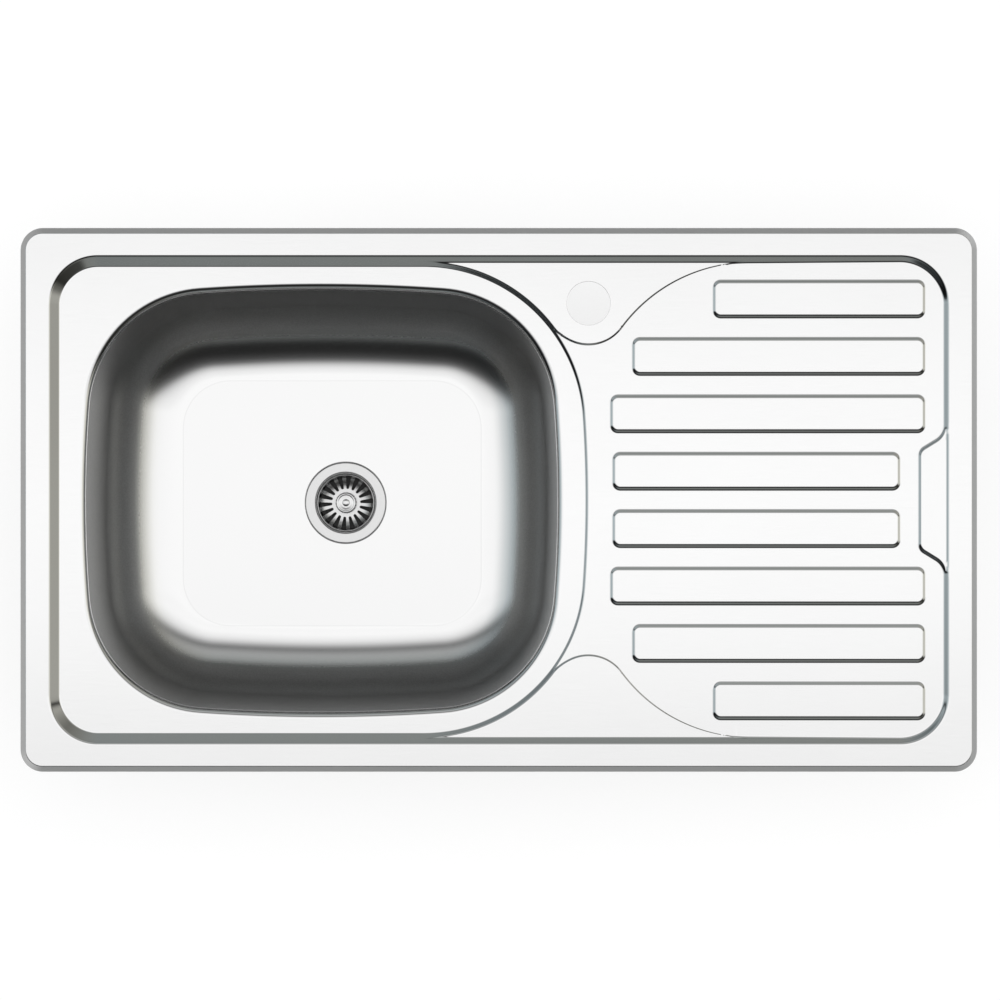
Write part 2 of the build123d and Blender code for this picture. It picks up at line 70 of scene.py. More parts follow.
class Shell:
    # collects points, faces and the normal at every face corner, then makes one closed mesh
    def __init__(self):
        self.points = []
        self.faces = []
        self.count = 0

    def addPoints(self, points):
        points = np.asarray(points, float).reshape(-1, 3)
        self.points.append(points)
        self.count += len(points)
        return self.count - len(points)  # the first one's number

    def addGrid(self, rows):
        # rows of points; gives back their numbers in the same rows
        first = self.addPoints(rows)
        return np.arange(first, self.count).reshape(len(rows), -1)

    def addFaces(self, corners, normals):
        # a face is turned round where its own normal disagrees with the normals given for its corners
        points = np.concatenate(self.points)
        corners = np.asarray(corners)
        a, b, c = points[corners[:, 0]], points[corners[:, 1]], points[corners[:, -1]]
        facing = np.einsum("ij,ij->i", np.cross(b - a, c - a), normals.mean(axis=1))
        turned = facing < 0
        corners = np.where(turned[:, None], corners[:, ::-1], corners)
        normals = np.where(turned[:, None, None], normals[:, ::-1], normals)
        self.faces.append((corners, normals))

    def addStrip(self, grid, before, after, closed=True):
        # quads between neighbouring rows of a grid of point numbers; a row has one normal on each side
        following = np.roll(grid, -1, axis=1) if closed else grid[:, 1:]
        here = grid if closed else grid[:, :-1]
        quads = np.stack([here[:-1], following[:-1], following[1:], here[1:]], axis=-1)
        turn = (lambda n: np.roll(n, -1, axis=1)) if closed else (lambda n: n[:, 1:])
        keep = (lambda n: n) if closed else (lambda n: n[:, :-1])
        corners = np.stack([keep(after[:-1]), turn(after[:-1]), turn(before[1:]), keep(before[1:])], axis=2)
        self.addFaces(quads.reshape(-1, 4), corners.reshape(-1, 4, 3))

    def build(self, name):
        # points from millimetres to metres, and all faces' corners one after another
        points = np.concatenate(self.points) * mm
        loops = np.concatenate([corners.ravel() for corners, _ in self.faces])
        totals = np.concatenate([np.full(len(corners), corners.shape[1]) for corners, _ in self.faces])
        normals = np.concatenate([normals.reshape(-1, 3) for _, normals in self.faces])
        return meshObject(name, points, loops, totals, normals)


def meshObject(name, points, loops, totals, normals=None):
    # totals says how many of the loops' point numbers each face takes
    mesh = bpy.data.meshes.new(name)
    mesh.vertices.add(len(points))
    mesh.vertices.foreach_set("co", np.ascontiguousarray(points, np.float32).ravel())
    mesh.loops.add(len(loops))
    mesh.loops.foreach_set("vertex_index", np.ascontiguousarray(loops, np.int32))
    mesh.polygons.add(len(totals))
    starts = np.concatenate([[0], np.cumsum(totals)[:-1]])
    mesh.polygons.foreach_set("loop_start", starts.astype(np.int32))
    mesh.update(calc_edges=True)
    mesh.validate()
    mesh.polygons.foreach_set("use_smooth", np.ones(len(mesh.polygons), bool))
    if normals is not None and len(mesh.loops) == len(normals):
        length = np.linalg.norm(normals, axis=1, keepdims=True)
        mesh.normals_split_custom_set((normals / np.maximum(length, 1e-9)).tolist())
    made = bpy.data.objects.new(name, mesh)
    bpy.context.scene.collection.objects.link(made)
    return made


def arcPoints(centre, radius, first, last, turn):
    # points on an arc in degrees, with normals to its centre, one point for every turn degrees
    count = max(2, int(abs(last - first) / turn) + 1)
    angles = np.radians(np.linspace(first, last, count))
    outward = np.stack([np.cos(angles), np.sin(angles)], axis=1)
    return np.asarray(centre) + radius * outward, -outward


def circlePoints(centre, radius, turn):
    # an arc all the way round, without its last point, which repeats the first
    points, inward = arcPoints(centre, radius, 0, 360, turn)
    return points[:-1], inward[:-1]


def linePoints(start, end, step):
    # points on a line, with normals to its left
    start, end = np.asarray(start, float), np.asarray(end, float)
    length = np.linalg.norm(end - start)
    share = np.linspace(0, 1, max(2, int(length / step) + 1))[:, None]
    along = (end - start) / length
    normal = np.array([-along[1], along[0]])
    return start + (end - start) * share, np.tile(normal, (len(share), 1))


def joined(*runs):
    # one run of points and normals; a point that repeats the one before it is dropped
    points = np.concatenate([run[0] for run in runs])
    normals = np.concatenate([run[1] for run in runs])
    gap = np.linalg.norm(points - np.roll(points, 1, axis=0), axis=1)
    return points[gap > tiny], normals[gap > tiny]


def roundedRectangle(centre, halfX, halfY, corner, step, turn):
    # counter-clockwise, normals inwards
    x, y = centre
    inX, inY = halfX - corner, halfY - corner
    return joined(
        linePoints((x + halfX, y - inY), (x + halfX, y + inY), step),
        arcPoints((x + inX, y + inY), corner, 0, 90, turn),
        linePoints((x + inX, y + halfY), (x - inX, y + halfY), step),
        arcPoints((x - inX, y + inY), corner, 90, 180, turn),
        linePoints((x - halfX, y + inY), (x - halfX, y - inY), step),
        arcPoints((x - inX, y - inY), corner, 180, 270, turn),
        linePoints((x - inX, y - halfY), (x + inX, y - halfY), step),
        arcPoints((x + inX, y - inY), corner, 270, 360, turn),
    )


def insideRectangle(x, y, centre, halfX, halfY, corner):
    # distance to a rounded rectangle's edge, positive inside
    overX = np.abs(x - centre[0]) - halfX + corner
    overY = np.abs(y - centre[1]) - halfY + corner
    outside = np.hypot(np.maximum(overX, 0), np.maximum(overY, 0))
    return corner - outside - np.minimum(np.maximum(overX, overY), 0)


def softMax(a, b, bend):
    # the greater of two, rounded where they differ by less than bend: (bend - difference)^2 / (4 bend)
    bend = np.maximum(bend, tiny)
    return np.maximum(a, b) + np.maximum(bend - np.abs(a - b), 0) ** 2 / (4 * bend)


def softMin(a, b, bend):
    # the lesser of two, rounded in the same way
    return -softMax(-a, -b, bend)


def swept(outline, profile):
    # rows of a profile carried along a closed outline. A profile row is inset, height, then the
    # normal's inset and height parts before and after it. The first and last rows may be shared.
    points, inward = outline
    profile = np.asarray(profile, float)
    inset = profile[:, 0][:, None, None]
    place = points[None] + inward[None] * inset
    height = np.broadcast_to(profile[:, 1][:, None, None], place.shape[:2] + (1,))
    rows = np.concatenate([place, height], axis=2)

    def normals(part, rise):
        flat = inward[None] * profile[:, part][:, None, None]
        up = np.broadcast_to(profile[:, rise][:, None, None], flat.shape[:2] + (1,))
        return np.concatenate([flat, up], axis=2)

    return rows, normals(2, 3), normals(4, 5)


def bendRows(centre, radius, first, last, count, way=1):
    # profile rows on an arc in degrees; normals point away from its centre, or to it if way is -1
    rows = []
    for angle in np.radians(np.linspace(first, last, count)):
        normal = (way * cos(angle), way * sin(angle))
        rows.append((centre[0] + radius * cos(angle), centre[1] + radius * sin(angle), *normal, *normal))
    return rows


def cornerRow(inset, height, before, after):
    # a profile row with a normal on each side of it
    return (inset, height, *before, *after)


def triangulated(points, loops, inside):
    # Delaunay triangles over plane points, with closed loops of them kept as edges
    edges = []
    for loop in loops:
        edges += [(int(a), int(b)) for a, b in zip(loop, np.roll(loop, -1))]
    flat = [Vector((float(x), float(y))) for x, y in points]
    _, _, faces, origin, _, _ = delaunay_2d_cdt(flat, edges, [], 0, 1e-5)
    back = np.array([o[0] if o else -1 for o in origin])
    triangles = back[np.array([f for f in faces if len(f) == 3])]
    triangles = triangles[(triangles >= 0).all(axis=1)]
    middle = points[triangles].mean(axis=1)
    return triangles[inside(middle[:, 0], middle[:, 1])]


# the deck is one pressing with rim, surround, tap ledge, drainboard and ribs
deckSize = {
    "halfLength": 382.5,
    "halfWidth": 217.5,
    "corner": 18.0,
    "sheet": 0.8,
    "lip": 0.7,
    "bevel": 4.8,
    "rimFlat": 2.0,         # flat sheet beside the rim's bevel, the mouth's roll and the tap hole's edge
    "mouthFlat": 1.0,
    "holeFlat": 0.8,
    "edgeBend": 1.0,        # radius of the bends in the rim's edge
    "lipEdge": 0.12,        # bevels along the cut edge under the rim
    "underEdge": 0.1,
    "holeEdge": 0.2,
    "rimBend": 1.2,         # reach of the soft creases, about a third of their radius
    "bend": 1.0,
    "footBend": 0.6,
    "sweepBend": 0.3,
    "crispRun": 8.0,        # length over which the sweep's foot gets crisper
    "joinShare": 1.2,       # of a bend: walls nearer than that run together
    "ribBend": 0.75,
    "recessX": 359.5,
    "recessY": 194.7,
    "recessCorner": 39.0,
    "ledge": 4.6,           # depths under the rim's flat
    "surround": 7.8,
    "pad": 1.9,
    "drainerNear": 5.8,
    "drainerFar": 3.8,
    "surroundReach": 77.3,
    "surroundCorner": 135.5,
    "surroundBow": 1009.0,
    "tapHole": (71.8, 157.2),
    "tapRadius": 17.5,
    "sweepX": 200.7,
    "sweepRadius": 132.5,
    "tipGap": 1.3,
    "tipRun": 16.0,
    "tipSpare": 0.4,
    "tipShare": 0.62,       # of the way from the surround's corner centre up to the tap hole
    "padEdge": 339.5,
    "padHalf": 37.5,
    "padRootHalf": 49.9,
    "padCorner": 4.4,
    "padRoot": 17.3,
    "ribStarts": (90.8, 89.0, 106.6, 171.1),
    "ribEnds": (321.1, 341.1, 341.1, 341.1),
    "ribPitch": 45.9,
    "ribHalf": 15.2,
    "ribWall": 2.4,         # width of a rib's slanted wall, and its fall for each millimetre
    "ribSlope": 0.72,
    "ribCorner": 6.4,
    "merging": ((140, 208), (-75, 40)),  # where other creases run into the recess wall, along X
    "cell": 5,              # a millimetre has this many points where creases meet
    "clear": 5,             # the wide grid keeps this far from the creases
    "wide": 20.0,
    "sameSpot": 0.08,
}
mouthSize = {
    "centre": (-142.0, -0.75),
    "halfLength": 188.95,
    "halfWidth": 169.05,
    "endBow": 1000.0,
    "sideBow": 1390.0,
    "corner": 95.7,
    "roll": 5.8,
    "collar": 2.2,
}
rimTop = deckSize["lip"] + deckSize["bevel"]
surroundZ = rimTop - deckSize["surround"]
weldZ = surroundZ - mouthSize["roll"] - mouthSize["collar"]


def surroundCorner():
    # the centre of the surround's corner arc, which touches the recess side and the bowed end
    d = deckSize
    rise = d["recessY"] - d["surroundCorner"]
    run = sqrt((d["surroundBow"] - d["surroundCorner"]) ** 2 - rise**2)
    return np.array([d["surroundReach"] - d["surroundBow"] + run, rise])


def surroundDistance(x, y):
    # to the surround's bowed end and large corners; its straight sides belong to the recess
    d = deckSize
    up = np.abs(y)
    corner = surroundCorner()
    bowCentre = d["surroundReach"] - d["surroundBow"]
    bowAngle = np.arctan2(corner[1], corner[0] - bowCentre)
    fromBow = d["surroundBow"] - np.hypot(x - bowCentre, up)
    fromCorner = d["surroundCorner"] - np.hypot(x - corner[0], up - corner[1])
    past = np.arctan2(up - corner[1], x - corner[0]) > bowAngle
    distance = np.where(past & (up > corner[1]), fromCorner, fromBow)
    return np.where(x < corner[0], farOff, distance)


def pastTip(x, up):
    # across the line from the tap hole to the surround's corner, where their creases meet
    hole, corner = np.array(deckSize["tapHole"]), surroundCorner()
    along = (corner - hole) / np.hypot(*(corner - hole))
    return (x - hole[0]) * along[1] - (up - hole[1]) * along[0]


def tipShift(x, up):
    # the turn's crease swings out to the surround's crease just before the tip
    d = deckSize
    return d["tipGap"] * np.clip(pastTip(x, up) / d["tipRun"] + 1, 0, 1) ** 2


def sweepArcs():
    # the centre of the sweep round the ledge, the way from there to the tap hole, and the radius of
    # the turn round the hole, which touches the sweep
    d = deckSize
    centre = np.array([d["sweepX"], d["recessY"] - d["sweepRadius"]])
    toHole = np.array(d["tapHole"]) - centre
    return centre, toHole, np.hypot(*toHole) - d["sweepRadius"]


def drainerDistance(x, y):
    # to the sweep round the ledge and the turn round the tap hole, closed by a line to the surround
    d = deckSize
    up = np.abs(y)
    hole = d["tapHole"]
    sweepCentre, toHole, turnRadius = sweepArcs()
    fromSweep = d["sweepRadius"] - np.hypot(x - sweepCentre[0], up - sweepCentre[1])
    fromTurn = np.hypot(x - hole[0], up - hole[1]) - turnRadius - tipShift(x, up)
    past = (x - sweepCentre[0]) * toHole[1] - (up - sweepCentre[1]) * toHole[0] < 0
    distance = np.where(past, fromTurn, fromSweep)
    distance = np.minimum(distance, d["ledge"] + d["tipSpare"] - pastTip(x, up))
    return np.where((x > sweepCentre[0]) & (up > 0), farOff, distance)


def padSlant():
    # of the pad's sides against the drainboard's length
    d = deckSize
    return np.arctan2(d["padRootHalf"] - d["padHalf"], d["recessX"] - d["padEdge"])


def cornerDistance(a, b):
    # from a corner's centre, by distances a and b to the pad's two edges with an angle between
    # them: sqrt(a^2 + b^2 - 2 a b cos(turn)) / sin(turn); and where that centre is the nearest
    turn = pi / 2 - padSlant()
    apart = np.sqrt(np.maximum(a**2 + b**2 - 2 * a * b * np.cos(turn), 0)) / np.sin(turn)
    return apart, (a > b * np.cos(turn)) & (b > a * np.cos(turn))


def padDistance(x, y):
    # outside distance to the raised pad: a front edge and two slanted sides with rounded corners
    d = deckSize
    slant = padSlant()
    front = d["padEdge"] - x
    side = (np.abs(y) - d["padHalf"]) * np.cos(slant) - (x - d["padEdge"]) * np.sin(slant)
    apart, rounded = cornerDistance(front + d["padCorner"], side + d["padCorner"])
    return np.where(rounded, apart - d["padCorner"], np.maximum(front, side))


def filletedMin(a, b, radius):
    # the lesser of two distances, with their corner filled by an arc
    apart, inside = cornerDistance(radius - a, radius - b)
    return np.where(inside, radius - apart, np.minimum(a, b))


def drainerFloor(x):
    # depth of the drainboard's plane, falling to the bowl
    d = deckSize
    share = (d["recessX"] - x) / (d["recessX"] - d["surroundReach"])
    return d["drainerFar"] + (d["drainerNear"] - d["drainerFar"]) * share


def ribBoxes():
    # centre and half length of every rib
    d = deckSize
    boxes = []
    for index, (start, end) in enumerate(zip(d["ribStarts"], d["ribEnds"])):
        for side in (-1, 1):
            boxes.append(((start + end) / 2, side * (index + 0.5) * d["ribPitch"], (end - start) / 2))
    return boxes


def deckDepth(x, y):
    # depth under the rim's flat: the deepest of four recesses, each the lesser of its wall and its
    # floor, less the ribs
    d = deckSize
    bend = d["bend"]
    wall = insideRectangle(x, y, (0, 0), d["recessX"], d["recessY"], d["recessCorner"])
    ledgeWall = np.minimum(wall, d["sweepX"] + d["ledge"] - x)
    surroundWall = np.minimum(wall, surroundDistance(x, y))
    endWall = filletedMin(wall, padDistance(x, y), d["padRoot"])
    sweepWall = drainerDistance(x, y)
    drainerWall = np.minimum(endWall, sweepWall)
    # the sweep's foot is crisper than the recess wall's, which it runs into
    apart = np.minimum(endWall - sweepWall, (d["sweepX"] - x) / d["crispRun"])
    footBend = bend - (bend - d["sweepBend"]) * np.clip(apart, 0, 1)
    padWall = np.minimum(np.minimum(wall, d["padRootHalf"] + d["padRoot"] / 2 - np.abs(y)),
                         x - d["padEdge"] + 3 * d["pad"])
    walls = [drainerWall, ledgeWall, padWall, surroundWall]
    floors = [drainerFloor(x), d["ledge"], d["pad"], d["surround"]]
    bends = [d["sweepBend"], d["footBend"], bend]
    feet = [bend, d["footBend"], d["footBend"]]
    depth = softMin(walls[0], floors[0], footBend)
    deepestWall = walls[0]
    for nextWall, floor, nextBend, foot in zip(walls[1:], floors[1:], bends, feet):
        # walls that run together aren't rounded against each other
        apart = np.abs(nextWall - deepestWall) / (d["joinShare"] * nextBend)
        depth = softMax(depth, softMin(nextWall, floor, foot), nextBend * np.clip(apart, 0, 1))
        deepestWall = np.maximum(deepestWall, nextWall)
    ribBend = d["ribBend"]
    for centreX, centreY, half in ribBoxes():
        edge = insideRectangle(x, y, (centreX, centreY), half, d["ribHalf"], d["ribCorner"])
        depth = depth - d["ribSlope"] * softMax(0, softMin(edge, d["ribWall"], ribBend), ribBend)
    return softMax(0, depth, d["rimBend"])


def deckHeight(points):
    # the rim's flat less the depth
    return rimTop - deckDepth(points[:, 0], points[:, 1])


def deckNormals(points):
    # from the height's slopes, by differences to both sides
    small = 0.01
    slopes = []
    for shift in (np.array([small, 0]), np.array([0, small])):
        slopes.append((deckHeight(points + shift) - deckHeight(points - shift)) / (2 * small))
    normals = np.stack([-slopes[0], -slopes[1], np.ones(len(points))], axis=1)
    return normals / np.linalg.norm(normals, axis=1, keepdims=True)


def mouthCentres():
    # of the end's, the side's and the corner's arc, about the mouth's middle, and the angles where
    # they meet; the corner's centre is where circles about the other two cross
    m = mouthSize
    endCentre = np.array([m["halfLength"] - m["endBow"], 0.0])
    sideCentre = np.array([0.0, m["halfWidth"] - m["sideBow"]])
    endReach, sideReach = m["endBow"] - m["corner"], m["sideBow"] - m["corner"]
    gap = np.hypot(*(sideCentre - endCentre))
    along = (endReach**2 - sideReach**2 + gap**2) / (2 * gap)
    across = sqrt(endReach**2 - along**2)
    direction = (sideCentre - endCentre) / gap
    corner = endCentre + direction * along + np.array([-direction[1], direction[0]]) * across
    low = np.arctan2(corner[1], corner[0] - endCentre[0])
    high = np.arctan2(corner[1] - sideCentre[1], corner[0])
    return endCentre, sideCentre, corner, low, high


def mouthOutline():
    # four shallow arcs joined by corner arcs that touch them from inside, normals inwards
    m = mouthSize
    endCentre, sideCentre, corner, low, high = mouthCentres()
    low, high = np.degrees(low), np.degrees(high)
    bowTurn, cornerTurn = 0.35, 3.0  # degrees between points
    points, normals = joined(arcPoints(endCentre, m["endBow"], 0, low, bowTurn),
                             arcPoints(corner, m["corner"], low, high, cornerTurn),
                             arcPoints(sideCentre, m["sideBow"], high, 90, bowTurn))
    points, normals = points[1:-1], normals[1:-1]
    # the far half is a quarter and its mirror image, and the near half is the far one turned round
    flip = np.array([-1, 1])
    points = np.concatenate([[(m["halfLength"], 0)], points, [(0, m["halfWidth"])], points[::-1] * flip])
    normals = np.concatenate([[(-1, 0)], normals, [(0, -1)], normals[::-1] * flip])
    points, normals = joined((points, normals), (-points, -normals))
    return points + np.array(m["centre"]), normals


def offsetRows(run, offsets):
    # copies of a run of points, each shifted along its normals
    points, normals = run
    offsets = np.asarray(offsets, float)
    if offsets.ndim == 1:
        offsets = np.tile(offsets, (len(points), 1))
    return (points[:, None] + normals[:, None] * offsets[:, :, None]).reshape(-1, 2)


def deckFamilies():
    # rows of points along every crease of the pressing, one array for each crease
    d = deckSize
    bend = d["bend"]
    across = np.array([-1.1, -0.8, -0.5, -0.25, 0, 0.25, 0.5, 0.8, 1.1]) * bend
    ribAcross = np.array([-1.1, -0.7, -0.35, 0, 0.35, 0.7, 1.1]) * d["ribBend"]
    families = []

    def mirrored(run):
        return run[0] * np.array([1, -1]), run[1] * np.array([1, -1])

    def addRows(run, *offsets):
        families.append(np.concatenate([offsetRows(run, rows) for rows in offsets]))

    def footDepth(x, y):
        # the recess wall's foot: the surround, the ledge, the drainboard or the pad
        foot = np.where(x < surroundCorner()[0], d["surround"],
                        np.where(x < d["sweepX"], d["ledge"], drainerFloor(x)))
        atPad = (np.abs(y) < d["padRootHalf"] + 5) & (x > d["padEdge"])
        return np.where(atPad, d["pad"], foot)[:, None]

    edge = roundedRectangle((0, 0), d["recessX"], d["recessY"], d["recessCorner"], 1.2, 0.75)
    x = edge[0][:, 0]
    kept = np.arange(len(x)) % 4 == 0  # every fourth point, and all of them where creases merge
    for start, end in d["merging"]:
        kept |= (x > start) & (x < end)
    edge = (edge[0][kept], edge[1][kept])
    foot = footDepth(edge[0][:, 0], edge[0][:, 1])
    addRows(edge, across / bend * d["rimBend"], foot + across)

    corner = surroundCorner()
    bowCentre = (d["surroundReach"] - d["surroundBow"], 0)
    bowAngle = np.degrees(np.arctan2(corner[1], corner[0] - bowCentre[0]))
    end = arcPoints(bowCentre, d["surroundBow"], -bowAngle, bowAngle, 0.35)
    turn = arcPoints(corner, d["surroundCorner"], bowAngle, 89.5, 0.6)
    hole = np.array(d["tapHole"])
    for run in (end, turn, mirrored(turn)):
        up = np.abs(run[0][:, 1])
        beyondTip = up < corner[1] + (hole[1] - corner[1]) * d["tipShare"]
        top = np.where(beyondTip & (run[0][:, 0] > 0), drainerFloor(run[0][:, 0]), d["ledge"])
        addRows(run, top[:, None] + across, d["surround"] + across / bend * d["footBend"])

    sweepCentre, toHole, turnRadius = sweepArcs()
    holeAngle = np.degrees(np.arctan2(toHole[1], toHole[0]))
    tipAngle = np.degrees(np.arctan2(corner[1] - hole[1], corner[0] - hole[0]))
    sweep = arcPoints(sweepCentre, d["sweepRadius"], 90.5, holeAngle, 1.0)
    around = arcPoints(hole, turnRadius, holeAngle - 180, tipAngle, 3)
    around = (around[0], -around[1])
    crisp = np.array([-2.4, -1.15, -0.7, -0.2, 0.2, 0.7, 1.15, 2.4]) * d["sweepBend"]
    for run in (sweep, around, mirrored(sweep), mirrored(around)):
        shift = tipShift(run[0][:, 0], np.abs(run[0][:, 1]))[:, None]
        addRows(run, shift + d["ledge"] + crisp, shift + drainerFloor(run[0][:, 0])[:, None] + crisp)

    slant = padSlant()
    turned = pi / 2 - slant
    front = linePoints((d["padEdge"], 3 - d["padHalf"]), (d["padEdge"], d["padHalf"] - 3), 5)
    inner = (d["padEdge"] + d["padCorner"], d["padHalf"] - d["padCorner"] * tan(turned / 2))
    nose = arcPoints(inner, d["padCorner"], 180, 90 + np.degrees(slant), 6)
    nose = (nose[0], -nose[1])
    rootReach = d["padRoot"] * tan(turned / 2)
    rootX = d["recessX"] - d["padRoot"]
    root = arcPoints((rootX, d["padRootHalf"] + rootReach), d["padRoot"], 0, np.degrees(slant) - 90, 4)
    side = linePoints(nose[0][-1], root[0][-1], 2)
    steps = np.arange(d["pad"] - 1.5 * d["footBend"], d["drainerFar"] + 1.6 * bend, 0.25)
    for run in (front, nose, mirrored(nose), side, mirrored(side), root, mirrored(root)):
        addRows(run, steps)

    for centreX, centreY, half in ribBoxes():
        rib = roundedRectangle((centreX, centreY), half, d["ribHalf"], d["ribCorner"], 6, 9)
        addRows(rib, ribAcross, d["ribWall"] + ribAcross)
    return families


def widened(cells, reach):
    # marked cells and those around them
    for axis in (0, 1):
        grown = cells.copy()
        for shift in range(1, reach + 1):
            grown |= np.roll(cells, shift, axis) | np.roll(cells, -shift, axis)
        cells = grown
    return cells


def deckPoints():
    # where two creases come within a millimetre or two, a fine grid takes the place of their rows
    d = deckSize
    margin = 4
    corner = np.array([d["halfLength"], d["halfWidth"]]) + margin

    def cellsOf(points):
        return tuple(np.floor(points + corner).astype(int).T)

    size = np.ceil(2 * corner).astype(int)
    used = np.zeros(size, bool)
    shared = np.zeros(size, bool)
    families = deckFamilies()
    for points in families:
        own = np.zeros(size, bool)
        own[cellsOf(points)] = True
        shared |= used & own
        used |= own
    rows = [points[~shared[cellsOf(points)]] for points in families]
    fine = (np.arange(d["cell"]) + 0.5) / d["cell"]
    spots = np.stack(np.meshgrid(fine, fine), axis=-1).reshape(1, -1, 2)
    rows.append((np.argwhere(shared)[:, None] + spots).reshape(-1, 2) - corner)
    near = widened(used, d["clear"])
    wide = np.meshgrid(np.arange(-370, 371, d["wide"]), np.arange(-205, 206, d["wide"]))
    wide = np.stack(wide, axis=-1).reshape(-1, 2)
    rows.append(wide[~near[cellsOf(wide)]])
    print("deck rows", sum(map(len, families)), "shared cells", int(shared.sum()))
    return np.concatenate(rows)


def rimProfile():
    # from the rim's flat over the bevel and the lip, and back under the sheet
    d = deckSize
    top, sheet, bend, edge = rimTop, d["sheet"], d["edgeBend"], d["underEdge"]
    reach = bend * tan(half45)
    slope = sqrt(0.5)
    rows = [(d["bevel"] + d["rimFlat"], top, 0, 1, 0, 1)]
    rows += bendRows((d["bevel"] + reach, top - bend), bend, 90, 135, 6)
    rows += bendRows((bend, d["lip"] - reach), bend, 135, 180, 6)
    rows += [cornerRow(0, d["lipEdge"], (-1, 0), (-1, 0)), cornerRow(edge, 0, (-slope, -slope), (0, -1)),
             cornerRow(sheet - edge, 0, (0, -1), (slope, -slope)),
             cornerRow(sheet, edge, (1, 0), (1, 0))]
    inner = max(bend - sheet, 0.2)
    rows += bendRows((sheet + inner, d["lip"] - reach), inner, 180, 135, 4, -1)
    rows += bendRows((d["bevel"] + reach, top - bend), bend - sheet + 0.0001, 135, 90, 4, -1)
    rows.append((d["bevel"] + d["rimFlat"], top - sheet, 0, -1, 0, -1))
    return rows


def mouthProfile():
    # from the surround's floor over the roll and down the collar, and back up outside
    m, sheet = mouthSize, deckSize["sheet"]
    flat = -m["roll"] - deckSize["mouthFlat"]
    rows = [(flat, surroundZ, 0, 1, 0, 1)]
    rows += bendRows((-m["roll"], surroundZ - m["roll"]), m["roll"], 90, 0, 12)
    rows += [cornerRow(0, weldZ + 0.5, (1, 0), (1, 0)), cornerRow(-0.1, weldZ, (0.7, -0.7), (0, -1)),
             cornerRow(-sheet, weldZ, (0, -1), (-1, 0))]
    rows += bendRows((-m["roll"], surroundZ - m["roll"]), m["roll"] - sheet, 0, 90, 8, -1)
    rows.append((flat, surroundZ - sheet, 0, -1, 0, -1))
    return rows


def holeProfile():
    # from the ledge over the tap hole's edge and back under the sheet
    d = deckSize
    z, sheet, edge = rimTop - d["ledge"], d["sheet"], d["holeEdge"]
    rows = [(-d["holeFlat"], z, 0, 1, 0, 1)]
    rows += bendRows((-edge, z - edge), edge, 90, 0, 4)
    rows += [cornerRow(0, z - sheet, (1, 0), (0, -1)), (-d["holeFlat"], z - sheet, 0, -1, 0, -1)]
    return rows


def makeDeck():
    # triangles over the height field and again one sheet along its normals, joined by three strips
    d = deckSize
    rimLine = roundedRectangle((0, 0), d["halfLength"], d["halfWidth"], d["corner"], 7, 3)
    holeLine = circlePoints(d["tapHole"], d["tapRadius"], 5)
    strips = [swept(rimLine, rimProfile()), swept(mouthOutline(), mouthProfile()),
              swept(holeLine, holeProfile())]
    boundary = np.concatenate([rows[0][:, :2] for rows, _, _ in strips])
    ends = np.cumsum([rows.shape[1] for rows, _, _ in strips])
    loops = np.split(np.arange(ends[-1]), ends[:-1])

    def inDeck(x, y, margin=0.0):
        rim = insideRectangle(x, y, (0, 0), d["halfLength"], d["halfWidth"], d["corner"])
        hole = np.hypot(x - d["tapHole"][0], y - d["tapHole"][1]) - d["tapRadius"]
        mouth = -insideMouth(x, y)
        return ((rim > d["bevel"] + d["rimFlat"] + margin) & (hole > d["holeFlat"] + margin)
                & (mouth > mouthSize["roll"] + d["mouthFlat"] + margin))

    points = deckPoints()
    points = points[inDeck(points[:, 0], points[:, 1], 0.4)]
    _, kept = np.unique(np.round(points / d["sameSpot"]), axis=0, return_index=True)
    points = np.concatenate([boundary, points[np.sort(kept)]])
    triangles = triangulated(points, loops, lambda x, y: inDeck(x, y, -0.02))
    normals = deckNormals(points)
    normals[:len(boundary)] = (0, 0, 1)
    top = np.column_stack([points, deckHeight(points)])
    shell = Shell()
    first = shell.addPoints(top)
    under = shell.addPoints(top - normals * d["sheet"])
    shell.addFaces(triangles + first, normals[triangles])
    shell.addFaces(triangles + under, -normals[triangles])
    for loop, (rows, before, after) in zip(loops, strips):
        grid = np.concatenate([[loop + first], shell.addGrid(rows[1:-1]), [loop + under]])
        shell.addStrip(grid, before, after)
    return shell.build("deck_pressing")


def insideMouth(x, y):
    # distance to the mouth's outline, positive inside, from the nearest of its arcs
    m = mouthSize
    endCentre, sideCentre, corner, low, high = mouthCentres()
    across, up = np.abs(x - m["centre"][0]), np.abs(y - m["centre"][1])
    fromEnd = m["endBow"] - np.hypot(across - endCentre[0], up)
    fromSide = m["sideBow"] - np.hypot(across, up - sideCentre[1])
    fromCorner = m["corner"] - np.hypot(across - corner[0], up - corner[1])
    angle = np.arctan2(up - corner[1], across - corner[0])
    inCorner = (angle > low) & (angle < high)
    return np.where(inCorner, fromCorner, np.minimum(fromEnd, fromSide))


bowlSize = {
    "floorZ": -144.5,
    "draft": 5.0,
    "wallRows": (0.15, 0.35),  # shares of the wall's height
    "floorRadius": 57.0,
    "waste": (-128.4, -2.5),
    "seatRadius": 34.4,
    "seatDepth": 1.6,
    "holeRadius": 27.5,
    "seatBend": 0.8,
    "seatFlat": 1.5,        # flat sheet round the seat
}


